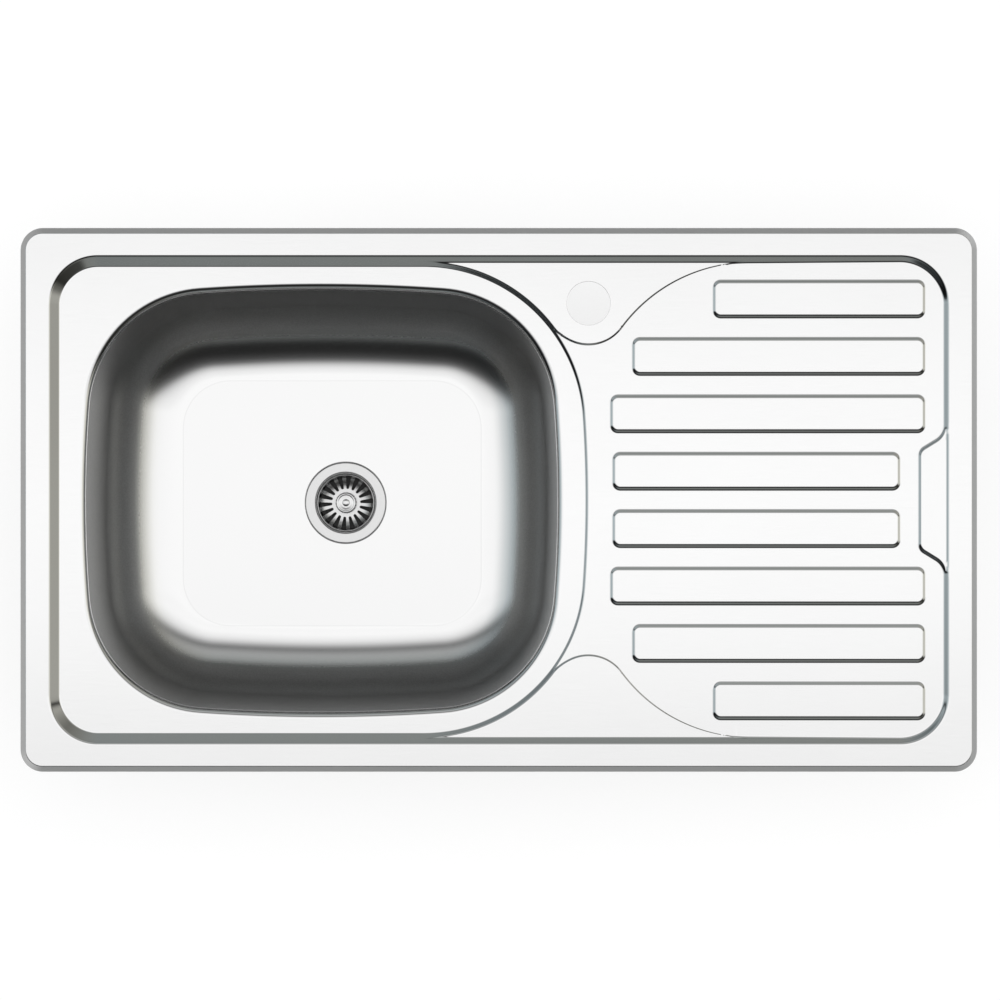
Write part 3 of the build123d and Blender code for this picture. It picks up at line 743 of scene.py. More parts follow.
def bowlProfile():
    # down the wall, round the floor's bend, then the same rows back outside, one sheet further out
    b, sheet = bowlSize, deckSize["sheet"]
    draft = radians(b["draft"])
    height = weldZ - b["floorZ"]
    radius = b["floorRadius"]
    wallFoot = height * tan(draft)
    reach = radius * tan((pi / 2 - draft) / 2)
    centre = (wallFoot + reach, b["floorZ"] + radius)
    wall, away = (cos(draft), sin(draft)), (-cos(draft), -sin(draft))
    shift = sheet / cos(draft)

    def wallRow(share, out, normal):
        return cornerRow(share * wallFoot - out, weldZ - share * height, normal, normal)

    inner = [cornerRow(0, weldZ, (0, 1), wall)]
    inner += [wallRow(share, 0, wall) for share in b["wallRows"]]
    inner += bendRows(centre, radius, 180 + b["draft"], 270, 26, -1)
    outer = bendRows(centre, radius + sheet, 270, 180 + b["draft"], 26)
    outer += [wallRow(share, shift, away) for share in reversed(b["wallRows"])]
    outer.append(cornerRow(-shift, weldZ, away, (0, 1)))
    return inner, outer, centre[0]


def seatProfile():
    # from the bowl's floor down the seat's slope to the hole, and back under the sheet
    b, sheet = bowlSize, deckSize["sheet"]
    low = b["floorZ"] - b["seatDepth"]
    bend = b["seatBend"]
    reach = bend * tan(half45)
    flat = -(b["seatRadius"] + b["seatFlat"])
    slopeTop, slopeFoot = b["seatRadius"], b["seatRadius"] - b["seatDepth"]
    rows = [(flat, b["floorZ"], 0, 1, 0, 1)]
    rows += bendRows((-(slopeTop + reach), b["floorZ"] - bend), bend, 90, 45, 5)
    rows += bendRows((-(slopeFoot - reach), low + bend), bend, 225, 270, 5, -1)
    rows += [cornerRow(-b["holeRadius"], low, (0, 1), (1, 0)),
             cornerRow(-b["holeRadius"], low - sheet, (1, 0), (0, -1))]
    rows += bendRows((-(slopeFoot - reach), low + bend), bend + sheet, 270, 225, 5)
    rows += bendRows((-(slopeTop + reach), b["floorZ"] - bend), max(bend - sheet, 0.05), 45, 90, 4, -1)
    rows.append((flat, b["floorZ"] - sheet, 0, -1, 0, -1))
    return rows


def makeBowl():
    # wall and floor bend swept round the mouth, seat swept round the waste, flat sheets between
    inner, outer, floorInset = bowlProfile()
    wasteX, wasteY = bowlSize["waste"]
    up = np.array([0.0, 0.0, 1.0])
    shell = Shell()
    rows, before, after = swept(mouthOutline(), inner + outer)
    grid = shell.addGrid(rows)
    lastIn, count = len(inner), rows.shape[1]
    shell.addStrip(grid[:lastIn], before[:lastIn], after[:lastIn])
    shell.addStrip(grid[lastIn:], before[lastIn:], after[lastIn:])
    edgeUp = np.tile(up, (2, count, 1))
    shell.addStrip(np.concatenate([grid[-1:], grid[:1]]), edgeUp, edgeUp)
    _, inward = circlePoints((0, 0), 1.0, 4)
    seatLine = (np.tile(np.array([wasteX, wasteY]), (len(inward), 1)), inward)
    seatRows, before, after = swept(seatLine, seatProfile())
    seatGrid = shell.addGrid(seatRows)
    shell.addStrip(seatGrid, before, after)
    points = np.concatenate([rows[lastIn - 1][:, :2], seatRows[0][:, :2]])
    loops = [np.arange(count), np.arange(count, len(points))]
    radius = np.hypot(seatRows[0][0, 0] - wasteX, seatRows[0][0, 1] - wasteY)
    triangles = triangulated(points, loops, lambda x, y: (
        (np.hypot(x - wasteX, y - wasteY) > radius * 0.999) & (insideMouth(x, y) > floorInset - 0.05)))
    for edge, seatEdge, normal in ((grid[lastIn - 1], seatGrid[0], up), (grid[lastIn], seatGrid[-1], -up)):
        numbers = np.concatenate([edge, seatEdge])
        shell.addFaces(numbers[triangles], np.tile(normal, (len(triangles), 3, 1)))
    return shell.build("bowl_drawing")


def bentPath(corners, turn=8.0):
    # rows along a line of radius, height and bend corners; normals lie to the line's left
    corners = [np.array(corner, float) for corner in corners]
    rows = []
    for index, corner in enumerate(corners):
        place, radius = corner[:2], corner[2]
        # the ways in and out; an end of the line has the same for both
        steps = [place - corners[index - 1][:2]] if index else []
        steps += [corners[index + 1][:2] - place] if index + 1 < len(corners) else []
        ways = [step / np.hypot(*step) for step in (steps[0], steps[-1])]
        normals = [np.array([-way[1], way[0]]) for way in ways]
        angle = atan2(ways[0][0] * ways[1][1] - ways[0][1] * ways[1][0], float(ways[0] @ ways[1]))
        if radius == 0 or abs(angle) < tiny:
            rows.append(np.concatenate([place, *normals]))
            continue
        side = 1 if angle > 0 else -1
        centre = place - ways[0] * radius * tan(abs(angle) / 2) + normals[0] * radius * side
        for share in np.linspace(0, 1, max(3, int(abs(np.degrees(angle)) / turn) + 2)):
            normal = normals[0] * cos(angle * share) - ways[0] * sin(angle * share)
            rows.append(np.concatenate([centre - normal * radius * side, normal, normal]))
    return np.array(rows)


def lathe(name, corners, turn=6.0, columns=96):
    # closed section turned about the waste's axis; its outside lies to the left of the corners' line
    shell = Shell()
    count = len(bentPath([corners[-1]] + corners + [corners[0]], turn)) - 2
    rows = bentPath([corners[-1]] + corners + [corners[0], corners[1]], turn)[1:1 + count]
    angles = np.linspace(0, 2 * pi, columns, endpoint=False)
    outward = np.stack([np.cos(angles), np.sin(angles)], axis=1)

    def turned(part):
        flat = outward[None] * rows[:, part, None, None]
        return np.concatenate([flat, np.broadcast_to(rows[:, part + 1, None, None], flat.shape[:2] + (1,))],
                              axis=2)

    grid = shell.addGrid(turned(0) + np.array([*bowlSize["waste"], 0.0]))
    # the first row comes once more at the end, which closes the section
    shell.addStrip(*[np.concatenate([part, part[:1]]) for part in (grid, turned(2), turned(4))])
    return shell.build(name)


def slottedSheet(shell, path, sheet, slots, edgeAngle, phase, parts):
    # sheet of revolution with a ring of openings; edgeAngle gives half an opening's angle at every
    # row, and nothing where there is none
    half = np.array([edgeAngle(r) for r in path[:, 0]])
    opened = half > 0
    firstOpen, lastOpen = np.flatnonzero(opened)[[0, -1]]
    half[:firstOpen] = half[firstOpen]
    half[lastOpen + 1:] = half[lastOpen]
    gapParts, finParts = parts
    pitch = 2 * pi / slots
    gap = np.linspace(-1, 1, gapParts + 1)[None, :-1] * half[:, None]
    fin = np.linspace(0, 1, finParts + 1)[None, :-1] * (pitch - 2 * half[:, None]) + half[:, None]
    sector = np.concatenate([gap, fin], axis=1)
    angles = np.concatenate([sector + phase + k * pitch for k in range(slots)], axis=1)
    columns = angles.shape[1]

    def turned(radius, height):
        return np.stack([radius * np.cos(angles), radius * np.sin(angles),
                         np.broadcast_to(height, angles.shape)], axis=2)

    normals = turned(path[:, 2:3], path[:, 3:4])
    top = turned(path[:, 0:1], path[:, 1:2]) + np.array([*bowlSize["waste"], 0.0])
    start = shell.addPoints(top)
    under = shell.addPoints(top - normals * sheet)
    grid = np.arange(len(path) * columns).reshape(-1, columns)
    following = np.roll(grid, -1, axis=1)
    inGap = np.arange(columns) % (gapParts + finParts) < gapParts
    kept = ~((opened[:-1] & opened[1:])[:, None] & inGap[None])
    quads = np.stack([grid[:-1], following[:-1], following[1:], grid[1:]], axis=-1)[kept]
    flat = normals.reshape(-1, 3)
    shell.addFaces(quads + start, flat[quads])
    shell.addFaces(quads + under, -flat[quads])
    # walls stand on every edge that only one kept cell has
    edges = np.concatenate([quads[:, [0, 1]], quads[:, [1, 2]], quads[:, [2, 3]], quads[:, [3, 0]]])
    middles = np.tile(top.reshape(-1, 3)[quads].mean(axis=1), (4, 1))
    _, index, times = np.unique(np.sort(edges, axis=1), axis=0, return_index=True, return_counts=True)
    rim, middle = edges[index[times == 1]], middles[index[times == 1]]
    a, b = top.reshape(-1, 3)[rim[:, 0]], top.reshape(-1, 3)[rim[:, 1]]
    out = np.cross(b - a, flat[rim[:, 0]])
    out *= np.sign(np.einsum("ij,ij->i", out, a - middle))[:, None]
    out /= np.maximum(np.linalg.norm(out, axis=1, keepdims=True), 1e-9)
    walls = np.stack([rim[:, 0] + start, rim[:, 1] + start, rim[:, 1] + under, rim[:, 0] + under], axis=1)
    shell.addFaces(walls, np.repeat(out[:, None], 4, axis=1))


wasteSize = {
    "top": -144.1,
    "flangeRadius": 33.7,
    "edgeBend": 0.8,
    "flangeSheet": 0.9,
    "throatRadius": 25.6,
    "throatBend": 1.2,
    "throatTaper": 3.2,
    "cupRadius": 24.3,
    "cupDepth": 27.5,
    "cupBend": 3.0,
    "openRadius": 16.5,
    "hubRadius": 8.6,
    "spokes": 6,
    "spokeHalf": 2.0,
    "screwHole": 3.4,
}
basketSize = {
    "rim": -147.5,
    "floor": -156.25,
    "sheet": 0.7,
    "hole": 2.0,
    "dishRadius": 16.3,     # where the floor turns up into the dish, and the dish into the side
    "sideRadius": 21.2,
    "dishLean": 33.0,
    "sideLean": 70.0,
    "dishBend": 18.0,
    "sideBend": 3.0,
    "slots": 18,
    "phase": 4.4,
    "slotInner": 11.75,
    "slotOuter": 22.7,
    "slotInnerWidth": 2.1,
    "slotOuterWidth": 4.4,
    "slotRound": 0.9,
}
knobSize = {
    "radius": 8.7,
    "height": 5.6,
    "waist": 6.2,
    "groove": 6.2,
    "grooveDepth": 0.5,
    "rivetRadius": 3.2,
    "rivetHeight": 0.9,
    "shank": 2.0,
    "axis": 0.02,           # a hair's breadth in place of the axis
    "pinRadius": 3.0,
    "pinTip": -166.95,
    "washerUnder": -159.95,
}
stopperSize = {
    "disc": 2.0,
    "shoulder": 15.5,
    "lipRadius": 22.5,
    "lipTop": -160.0,
    "lipUnder": -161.6,
    "skirtRadius": 19.5,
    "skirtUnder": -167.3,
    "wall": 2.0,
}


def makeFlange():
    # the ring and cup in one sheet of revolution, with openings between the floor's spokes
    w = wasteSize
    shell = Shell()
    low = w["top"] - w["cupDepth"]
    path = bentPath([
        (w["screwHole"], low, 0),
        (w["cupRadius"], low, w["cupBend"]),
        (w["cupRadius"], w["top"] - w["throatTaper"], 0),
        (w["throatRadius"], w["top"], w["throatBend"]),
        (w["flangeRadius"], w["top"], w["edgeBend"]),
        (w["flangeRadius"], w["top"] - w["flangeSheet"], 0),
    ])
    inner = np.linspace(w["hubRadius"], w["openRadius"], 8)
    added = [np.array([r, low, 0, 1, 0, 1]) for r in inner]
    inFloor = path[:, 0] < w["openRadius"] + 0.1
    path = np.array(sorted([*path[inFloor], *added], key=lambda row: row[0]) + list(path[~inFloor]))
    pitch = 2 * pi / w["spokes"]

    def opening(r):
        inRing = w["hubRadius"] - tiny <= r <= w["openRadius"] + tiny
        return pitch / 2 - np.arcsin(w["spokeHalf"] / r) if inRing else 0

    slottedSheet(shell, path, w["flangeSheet"], w["spokes"], opening, pitch / 2, (10, 4))
    return shell.build("flange_pressing")


def makeBasket():
    # floor, dish and side in one sheet of revolution with a ring of slots
    b = basketSize
    shell = Shell()
    sideFoot = b["floor"] + (b["sideRadius"] - b["dishRadius"]) * tan(radians(b["dishLean"]))
    rimRadius = b["sideRadius"] + (b["rim"] - sideFoot) / tan(radians(b["sideLean"]))
    path = bentPath([(b["hole"], b["floor"], 0), (b["dishRadius"], b["floor"], b["dishBend"]),
                     (b["sideRadius"], sideFoot, b["sideBend"]), (rimRadius, b["rim"], 0)], 3)
    # extra rows where the slots begin and end, for their round ends
    ends = np.concatenate([b["slotInner"] + b["slotRound"] * np.array([0, 0.1, 0.35, 1, 2.5]),
                           b["slotOuter"] - b["slotRound"] * np.array([1, 0.35, 0.1, 0])])
    columns = [np.interp(ends, path[:, 0], path[:, k]) for k in range(6)]
    path = np.concatenate([path, np.stack(columns, axis=1)])
    path = path[np.argsort(path[:, 0])]
    path = path[np.concatenate([[True], np.diff(path[:, 0]) > 0.02])]

    def slot(r):
        if not b["slotInner"] - tiny <= r <= b["slotOuter"] + tiny:
            return 0
        share = (r - b["slotInner"]) / (b["slotOuter"] - b["slotInner"])
        half = (b["slotInnerWidth"] + (b["slotOuterWidth"] - b["slotInnerWidth"]) * share) / 2
        near = min(r - b["slotInner"], b["slotOuter"] - r)
        # the ends are quarter rounds: the half width loses round - sqrt(round^2 - (round - near)^2)
        short = max(b["slotRound"] - near, 0)
        half -= b["slotRound"] - sqrt(max(b["slotRound"] ** 2 - short**2, 0))
        return max(half, 0.02) / r

    slottedSheet(shell, path, b["sheet"], b["slots"], slot, radians(b["phase"]), (3, 5))
    return shell.build("basket_pressing")


def makeKnob():
    # a section turned round: groove, rounded rim and waist
    k = knobSize
    floor = basketSize["floor"]
    top = floor + k["height"]
    return lathe("knob_turned", [
        (k["shank"], floor, 0),
        (k["shank"], top - 0.2, 0),
        (k["groove"] - 2.2, top - 0.1, 3.0),
        (k["groove"], top - k["grooveDepth"], 1.2),
        (k["groove"] + 1.0, top, 1.6),
        (k["radius"], top - 0.35, 1.6),
        (k["radius"], top - 1.5, 0.5),
        (k["waist"], floor + 1.9, 2.0),
        (k["waist"] + 0.5, floor, 0.2),
    ])


def makeStem():
    # a rivet head above, a shank through basket and stopper, and the wider pin below
    k = knobSize
    head = basketSize["floor"] + k["height"] - 0.2
    return lathe("stem_turned", [
        (k["axis"], k["pinTip"], 0),
        (k["axis"], head + k["rivetHeight"], 0),
        (1.4, head + k["rivetHeight"] - 0.05, 4.0),
        (k["rivetRadius"], head + 0.25, 1.0),
        (k["rivetRadius"], head, 0),
        (k["shank"] - 0.01, head, 0),
        (k["shank"] - 0.01, k["washerUnder"], 0),
        (k["pinRadius"], k["washerUnder"], 0),
        (k["pinRadius"], k["pinTip"] + 0.8, 0),
        (k["pinRadius"] - 0.8, k["pinTip"], 0),
    ])


def makeStopper():
    # a bell of even wall with a lip round it
    t = stopperSize
    top = basketSize["floor"] - basketSize["sheet"]
    return lathe("stopper_bell", [
        (knobSize["shank"], top - t["disc"], 0),
        (knobSize["shank"], top, 0),
        (t["shoulder"] - 3.5, top, 3.0),
        (t["shoulder"], top - 2.5, 3.0),
        (t["skirtRadius"], t["lipTop"] - 0.3, 2.0),
        (t["lipRadius"], t["lipTop"], 0.6),
        (t["lipRadius"], t["lipUnder"], 0.6),
        (t["skirtRadius"], t["lipUnder"] - 0.6, 1.0),
        (t["skirtRadius"], t["skirtUnder"], 0.4),
        (t["skirtRadius"] - t["wall"], t["skirtUnder"], 0.4),
        (t["skirtRadius"] - t["wall"], t["lipUnder"] - 0.5, 1.0),
        (t["shoulder"] - 2.0, top - t["disc"] - 2.0, 2.0),
        (t["shoulder"] - 4.5, top - t["disc"], 1.0),
    ], turn=8)


class Wire:
    # a node's output; arithmetic on it adds Math nodes
    def __init__(self, tree, socket):
        self.tree = tree
        self.socket = socket

    def math(self, operation, first, second):
        node = self.tree.nodes.new("ShaderNodeMath")
        node.operation = operation
        for socket, value in zip(node.inputs, (first, second)):
            plug(self.tree, socket, value)
        return Wire(self.tree, node.outputs[0])

    def __add__(self, other):
        return self.math("ADD", self, other)

    def __radd__(self, other):
        return self.math("ADD", other, self)

    def __sub__(self, other):
        return self.math("SUBTRACT", self, other)

    def __rsub__(self, other):
        return self.math("SUBTRACT", other, self)

    def __mul__(self, other):
        return self.math("MULTIPLY", self, other)

    def __rmul__(self, other):
        return self.math("MULTIPLY", other, self)

    def __truediv__(self, other):
        return self.math("DIVIDE", self, other)

    def __pow__(self, other):
        return self.math("POWER", self, other)

    def __abs__(self):
        return self.math("ABSOLUTE", self, 0.0)

    def atLeast(self, other):
        return self.math("MAXIMUM", self, other)


def plug(tree, socket, value):
    if isinstance(value, Wire):
        tree.links.new(value.socket, socket)
    else:
        socket.default_value = value


def grey(level):
    return (level, level, level, 1)


class Finish:
    # one node tree, of a material or of the world
    def __init__(self, tree):
        self.tree = tree
        tree.nodes.clear()

    def node(self, kind, settings=None, sockets=None, output=0):
        made = self.tree.nodes.new("ShaderNode" + kind)
        for name, value in (settings or {}).items():
            if name == "stops":
                ramp = made.color_ramp
                while len(ramp.elements) < len(value):
                    ramp.elements.new(0.5)
                for element, (place, colour) in zip(ramp.elements, value):
                    element.position = place
                    element.color = colour
            else:
                setattr(made, name, value)
        for name, value in (sockets or {}).items():
            plug(self.tree, made.inputs[name], value)
        return Wire(self.tree, made.outputs[output]) if len(made.outputs) else None

    def split(self, vector):
        return [self.node("SeparateXYZ", sockets={"Vector": vector}, output=i) for i in range(3)]

    def noise(self, place, scale, detail):
        return self.node("TexNoise", None, {"Vector": place, "Scale": scale, "Detail": detail})

    def smooth(self, value, low, high):
        # 0 at low and 1 at high, with soft ends
        return self.node("MapRange", {"interpolation_type": "SMOOTHSTEP"},
                         {"Value": value, "From Min": low, "From Max": high})

    def mix(self, share, first, second):
        return self.node("Mix", {"data_type": "RGBA"}, {0: share, 6: first, 7: second}, output=2)

    def times(self, first, second):
        return self.node("Mix", {"data_type": "RGBA", "blend_type": "MULTIPLY"},
                         {0: 1.0, 6: first, 7: second}, output=2)

    def darkened(self, shade, share, level):
        # shade times level where share is 1, and shade alone where it is 0
        return self.times(shade, self.mix(share, grey(1), grey(level)))


def newMaterial(name):
    material = bpy.data.materials.new(name)
    material.use_nodes = True
    return material, Finish(material.node_tree)


def surface(finish, shade, rough, height, metallic):
    # height is the grain's, in millimetres
    bump = finish.node("Bump", None, {"Height": height, "Strength": 1.0, "Distance": 0.001})
    shader = finish.node("BsdfPrincipled", None, {"Metallic": metallic, "Base Color": shade,
                                                  "Roughness": rough, "Normal": bump})
    finish.node("OutputMaterial", None, {"Surface": shader})


def brushedSteel(name, base, roughness, stretch, grain, vary=0.04, drawnAndPaintedShade=None):
    # fine lines are noise stretched along one way, and a slow cloud keeps large faces uneven
    material, finish = newMaterial(name)
    place = finish.node("TexCoord", output=3)
    lines = finish.node("Mapping", None, {"Vector": place, "Scale": stretch})
    fine = finish.noise(lines, 1.0, 3.0)
    cloud = finish.noise(place, 9.0, 2.0)
    shade = finish.mix(finish.smooth(fine * 0.7 + cloud * 0.3, 0.3, 0.7),
                       (*[part * 0.97 for part in base], 1), (*base, 1))
    if drawnAndPaintedShade:
        # the bowl's drawn wall also gets a painted reflection, a darker tint
        shade, roughness = drawnFinishAndPaintedShade(finish, place, shade, roughness, drawnAndPaintedShade)
    rough = roughness + vary * (fine - 0.5) + 0.03 * (cloud - 0.5)
    surface(finish, shade, rough, fine * grain, 1.0)
    return material


def drawnFinishAndPaintedShade(finish, place, shade, roughness, d):
    # drawing leaves the wall rougher and speckled; the flat floor is a shade darker, with a faint darker
    # line round it.
    # The wall's darker tint is painted reflection: it isn't the steel's own, and stands for the dark
    # surroundings that it would mirror
    x, y, z = finish.split(place)
    onWall = finish.smooth(z, d["low"], d["high"])
    speckle = finish.smooth(finish.noise(place, d["speckScale"], 2.0), 0.35, 0.65)
    # painted reflection: the wall is darkened to stand for the dark surroundings that it would mirror
    shade = finish.darkened(shade, onWall, d["wall"])
    shade = finish.darkened(shade, onWall * speckle, d["speck"])
    # distance outside the darker line's rounded rectangle, from its corner circle's centre lines
    cornerX = (abs(x - d["centre"][0]) - (d["halfX"] - d["corner"])).atLeast(0.0)
    cornerY = (abs(y - d["centre"][1]) - (d["halfY"] - d["corner"])).atLeast(0.0)
    outside = (cornerX * cornerX + cornerY * cornerY) ** 0.5 - d["corner"]
    within = finish.smooth(outside, 0.0, -0.0008)
    line = finish.smooth(outside, -0.0006, -0.0001) * finish.smooth(outside, 0.0006, 0.0001)
    onFloor = 1 - onWall
    shade = finish.darkened(shade, within * onFloor, d["inside"])
    shade = finish.darkened(shade, line * onFloor, d["line"])
    return shade, roughness + onWall * (d["roughness"] - roughness)


def mouldedFinish(name, colour, roughness, grainScale, grain):
    # matt rubber, foam or plastic with a fine grain and a slow cloud
    material, finish = newMaterial(name)
    place = finish.node("TexCoord", output=3)
    fine = finish.noise(place, grainScale, 4.0)
    cloud = finish.noise(place, 30.0, 2.0)
    shade = finish.mix(finish.smooth(cloud * 0.6 + fine * 0.4, 0.35, 0.65),
                       (*[part * 0.9 for part in colour], 1), (*colour, 1))
    surface(finish, shade, roughness + 0.12 * (fine - 0.5), fine * grain, 0.0)
    return material


drawnBowlAndPaintedShade = {
    "low": -0.1425,         # metres: where the wall's finish and its painted reflection begin and where they are full
    "high": -0.124,
    "roughness": 0.40,
    "wall": 0.56,           # painted reflection: tint of the wall, where 1 is the steel's own colour
    "speckScale": 800.0,
    "speck": 0.88,
    "centre": (-0.1397, -0.0029),
    "halfX": 0.1249,
    "halfY": 0.1027,
    "corner": 0.040,
    "inside": 0.99,
    "line": 0.94,
}
# colour, roughness, scale of the grain along each axis, and its height
steels = {
    "pressed_steel": ((0.70, 0.70, 0.70), 0.07, (60, 2500, 2500), 0.001, 0.03),
    # the bowl's last entry is its drawn finish, with a wall tint that is painted reflection
    "bowl_steel": ((0.72, 0.72, 0.72), 0.16, (900, 900, 900), 0.001, 0.04, drawnBowlAndPaintedShade),
    "waste_steel": ((0.63, 0.63, 0.63), 0.26, (900, 900, 900), 0.001),
    "knob_steel": ((0.66, 0.66, 0.66), 0.16, (900, 900, 900), 0.001),
    "screw_steel": ((0.72, 0.72, 0.74), 0.25, (900, 900, 900), 0.004),
    "zinc_steel": ((0.66, 0.68, 0.70), 0.3, (500, 500, 500), 0.008),
    "brass": ((0.75, 0.60, 0.30), 0.25, (500, 500, 500), 0.004),
}
moulded = {
    "foam_seal": ((0.06, 0.06, 0.06), 0.9, 1500, 0.25),
    "damping_pad": ((0.05, 0.05, 0.055), 0.75, 500, 0.2),
    "seal_rubber": ((0.012, 0.012, 0.012), 0.6, 900, 0.05),
    "waste_plastic": ((0.80, 0.80, 0.78), 0.45, 700, 0.02),
}
looks = {name: brushedSteel(name, *values) for name, values in steels.items()}
looks.update({name: mouldedFinish(name, *values) for name, values in moulded.items()})
print("materials made")

slotOf = {entry["node"]: entry["material_slot"] for entry in frame["record"]["subparts"]}


def stand(piece, node, body="sink"):
    # piece takes the node's place, body and finish
    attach(piece, body)
    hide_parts(node)
    piece.data.materials.clear()
    piece.data.materials.append(looks[slotOf[node]])


stand(makeDeck(), "deck")
print("deck made")
stand(makeBowl(), "bowl")
print("bowl made")
stand(makeFlange(), "waste_flange")
stand(makeBasket(), "strainer_basket", "strainer")
stand(makeKnob(), "basket_knob", "strainer")
stand(makeStem(), "basket_stem", "strainer")
stand(makeStopper(), "basket_stopper", "strainer")
print("waste made")
remade = ("deck", "bowl", "waste_flange", "strainer_basket", "basket_knob", "basket_stem",
          "basket_stopper")


def smoothCopy(node, body):
    # the node's own triangles, merged and shaded smooth up to 35 degrees
    mesh = frame["nodes"][node].data.copy()
    mesh.name = node + "_finished"
    piece = bpy.data.objects.new(node + "_finished", mesh)
    bpy.context.scene.collection.objects.link(piece)
    work = bmesh.new()
    work.from_mesh(mesh)
    bmesh.ops.remove_doubles(work, verts=work.verts, dist=tiny)
    work.to_mesh(mesh)
    work.free()
    mesh.polygons.foreach_set("use_smooth", np.ones(len(mesh.polygons), bool))
    mesh.set_sharp_from_angle(angle=radians(35))
    stand(piece, node, body)


for bodyName, members in frame["record"]["behaviour"]["bodies"].items():
    for node in members:
        if node not in remade:
            smoothCopy(node, bodyName)
print("small pieces made")

stageSize = {
    "floorZ": cadBox[0][2],
    "floorHalf": 6.0,
    "cameraHeight": 3.0,
    "viewWidth": 0.8,       # metres across the picture at the worktop's level
    "cameraX": 0.001,
    "cameraY": -0.00012,
    "sensor": 36.0,         # sensor's width in millimetres
    "floor": 0.9,           # grey of the floor, and of its image in polished steel
    "floorMirrored": 0.5,
    "floorWhite": 0.8,      # share of plain white that the camera sees on it; the rest takes shadows
}


def makeFloor():
    # one square under the sink
    s = stageSize
    half, z = s["floorHalf"], s["floorZ"]
    points = np.array([(-half, -half, z), (half, -half, z), (half, half, z), (-half, half, z)])
    floor = meshObject("floor", points, np.arange(4), np.array([4]))
    material, finish = newMaterial("pale_floor")
    mirrored = finish.node("LightPath", output=3)
    shade = finish.mix(mirrored, grey(s["floor"]), grey(s["floorMirrored"]))
    pale = finish.node("BsdfDiffuse", None, {"Color": shade})
    white = finish.node("Emission", None, {"Color": grey(1), "Strength": 1.0})
    seen = finish.node("LightPath", output=0)
    mixed = finish.node("MixShader", None, {0: seen * s["floorWhite"], 1: pale, 2: white})
    # the floor is clear from below, so that the underside can be looked at
    backside = finish.node("NewGeometry", output=6)
    clear = finish.node("BsdfTransparent")
    mixed = finish.node("MixShader", None, {0: backside, 1: mixed, 2: clear})
    finish.node("OutputMaterial", None, {"Surface": mixed})
    floor.data.materials.append(material)


# brightness of the studio by angle from the zenith in degrees, towards each side; the near side is
# its dark one
studio = {
    "right": ((0, 1.3), (43, 1.25), (50, 1.12), (58, 0.98), (66, 0.84), (74, 0.70), (83, 0.42),
              (90, 0.36)),
    "left": ((0, 1.3), (30, 1.25), (37, 1.12), (44, 0.95), (51, 0.86), (59, 0.71), (67, 0.61),
             (75, 0.54), (84, 0.46), (90, 0.35)),
    "near": ((0, 1.29), (2, 1.24), (4, 1.12), (8, 1.11), (13, 0.95), (18, 0.62), (23, 0.17),
             (29, 0.06), (40, 0.02), (55, 0.02), (62, 0.09), (68, 0.17), (74, 0.21), (90, 0.25)),
    "far": ((0, 1.29), (2, 1.26), (4, 1.19), (8, 1.19), (12, 1.25), (22, 1.07), (27, 0.88),
            (32, 0.51), (38, 0.16), (43, 0.32), (49, 0.48), (60, 0.46), (66, 0.39), (72, 0.30),
            (78, 0.20), (90, 0.33)),
    "peak": 1.3,            # a ramp holds shares of this brightness
    "strength": 1.1,
    "level": 0.15,          # keeps the angles finite at the horizon
    "seam": 0.05,           # half width of the change from one side to the other
    "farEven": 0.8,         # share of the far side that is alike all along it
    "nearCorners": 0.36,    # the low corners of the near side are darker than its middle
    "leftTint": (0.90, 1.03, 1.07, 1),
    "rightTint": (1.02, 1.01, 0.91, 1),
}


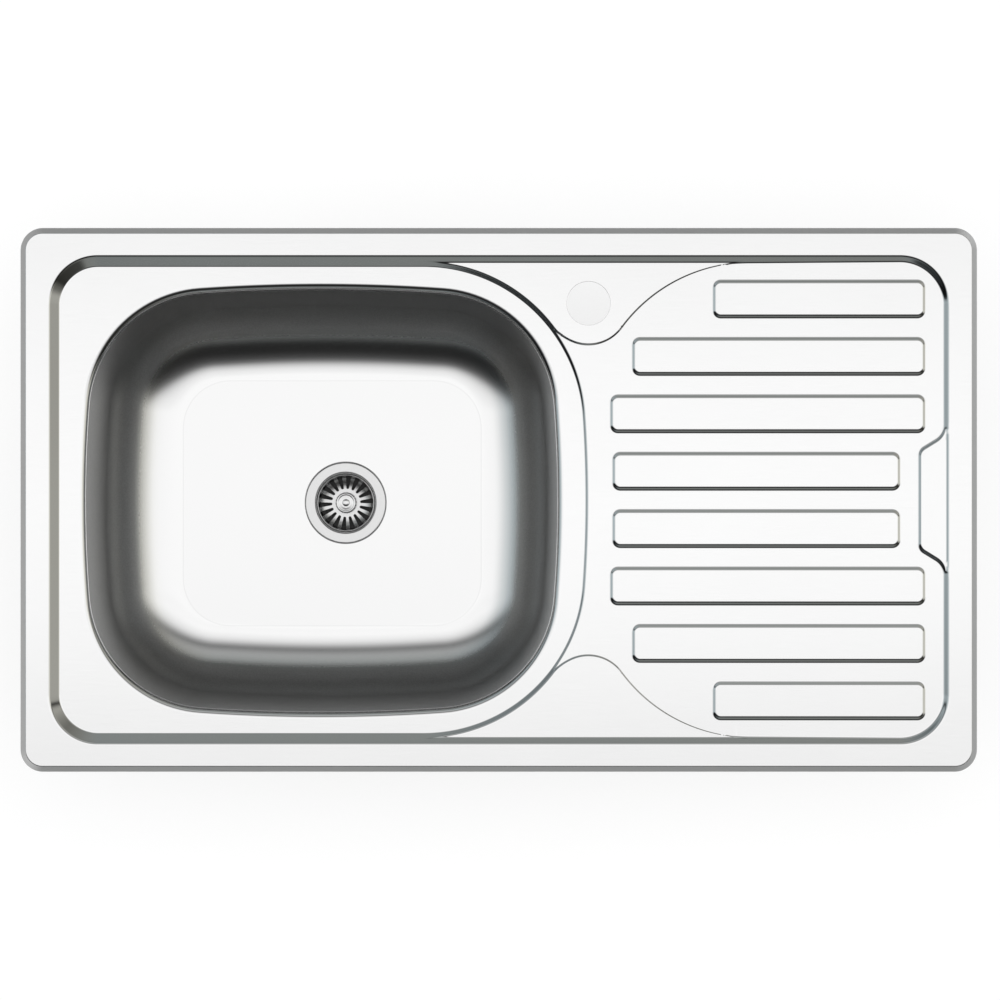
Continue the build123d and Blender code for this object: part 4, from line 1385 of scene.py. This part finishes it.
def makeWorld():
    # brightness by the angle along X times brightness by the angle along Y, with a tint near the horizon
    s = studio
    world = bpy.data.worlds.new("studio")
    bpy.context.scene.world = world
    world.use_nodes = True
    finish = Finish(world.node_tree)
    x, y, z = finish.split(finish.node("TexCoord", output=0))
    raised = z.atLeast(0.0) + s["level"]

    def glow(side, across):
        # the light's profile along one axis, read by the angle of the direction's shadow on it
        angle = across.math("ARCTAN2", across, raised) / (pi / 2)
        stops = [(atan2(sin(radians(a)), cos(radians(a)) + s["level"]) / (pi / 2), grey(value / s["peak"]))
                 for a, value in s[side]]
        return finish.node("ValToRGB", {"stops": stops}, {"Fac": angle})

    overX, overY = abs(x), abs(y)
    sides = finish.mix(finish.smooth(x, -s["seam"], s["seam"]), glow("left", overX), glow("right", overX))
    near = finish.mix(finish.smooth(x, 0.82, 0.96), glow("near", overY), grey(1))
    corners = finish.smooth(y * overX, -0.15, -0.34) * finish.smooth(z, 0.35, 0.1)
    near = finish.darkened(near, corners, s["nearCorners"])
    ends = finish.mix(finish.smooth(y, -s["seam"], s["seam"]), near, glow("far", overY))
    sides = finish.mix(finish.smooth(y / raised, 0.6, 1.2) * s["farEven"], sides, grey(1))
    tint = finish.mix(finish.smooth(x, -0.8, 0.8), s["leftTint"], s["rightTint"])
    tint = finish.mix(finish.smooth(z, 0.9, 0.3), grey(1), tint)
    light = finish.node("Background", None, {"Color": finish.times(finish.times(sides, ends), tint),
                                             "Strength": s["peak"] * s["strength"]})
    white = finish.node("Background", None, {"Color": grey(1), "Strength": 1.0})
    seen = finish.node("LightPath", output=0)
    shown = finish.node("MixShader", None, {0: seen, 1: light, 2: white})
    finish.node("OutputWorld", None, {"Surface": shown})


# place, what it shines at, width and power of every lamp
lamps = {
    "overhead": ((0, 0, 2.6), (0, 0, 0), 2.4, 55),
    "side_left": ((-2.2, -1.6, 1.0), (0, 0, -0.1), 1.4, 14),
    "side_right": ((2.2, 1.6, 1.0), (0, 0, -0.1), 1.4, 14),
}


def makeLight(name, place, aim, size, power):
    # a round lamp that lights but is neither seen nor mirrored
    data = bpy.data.lights.new(name, "AREA")
    data.shape = "DISK"
    data.size = size
    data.energy = power
    lamp = bpy.data.objects.new(name, data)
    bpy.context.scene.collection.objects.link(lamp)
    lamp.location = place
    lamp.rotation_euler = (Vector(aim) - Vector(place)).to_track_quat("-Z", "Y").to_euler()
    lamp.visible_camera = False
    lamp.visible_glossy = False


def makeCamera():
    # straight above; the lens is the sensor's width times the height, over the width seen
    s = stageSize
    data = bpy.data.cameras.new("camera")
    data.sensor_width = s["sensor"]
    data.lens = s["sensor"] * s["cameraHeight"] / s["viewWidth"]
    data.clip_start, data.clip_end = 0.05, 50.0
    camera = bpy.data.objects.new("camera", data)
    bpy.context.scene.collection.objects.link(camera)
    camera.location = (s["cameraX"], s["cameraY"], s["cameraHeight"])
    bpy.context.scene.camera = camera


makeFloor()
makeWorld()
for lampName, values in lamps.items():
    makeLight(lampName, *values)
makeCamera()
bpy.context.scene.view_settings.view_transform = "Standard"
print("stage made")
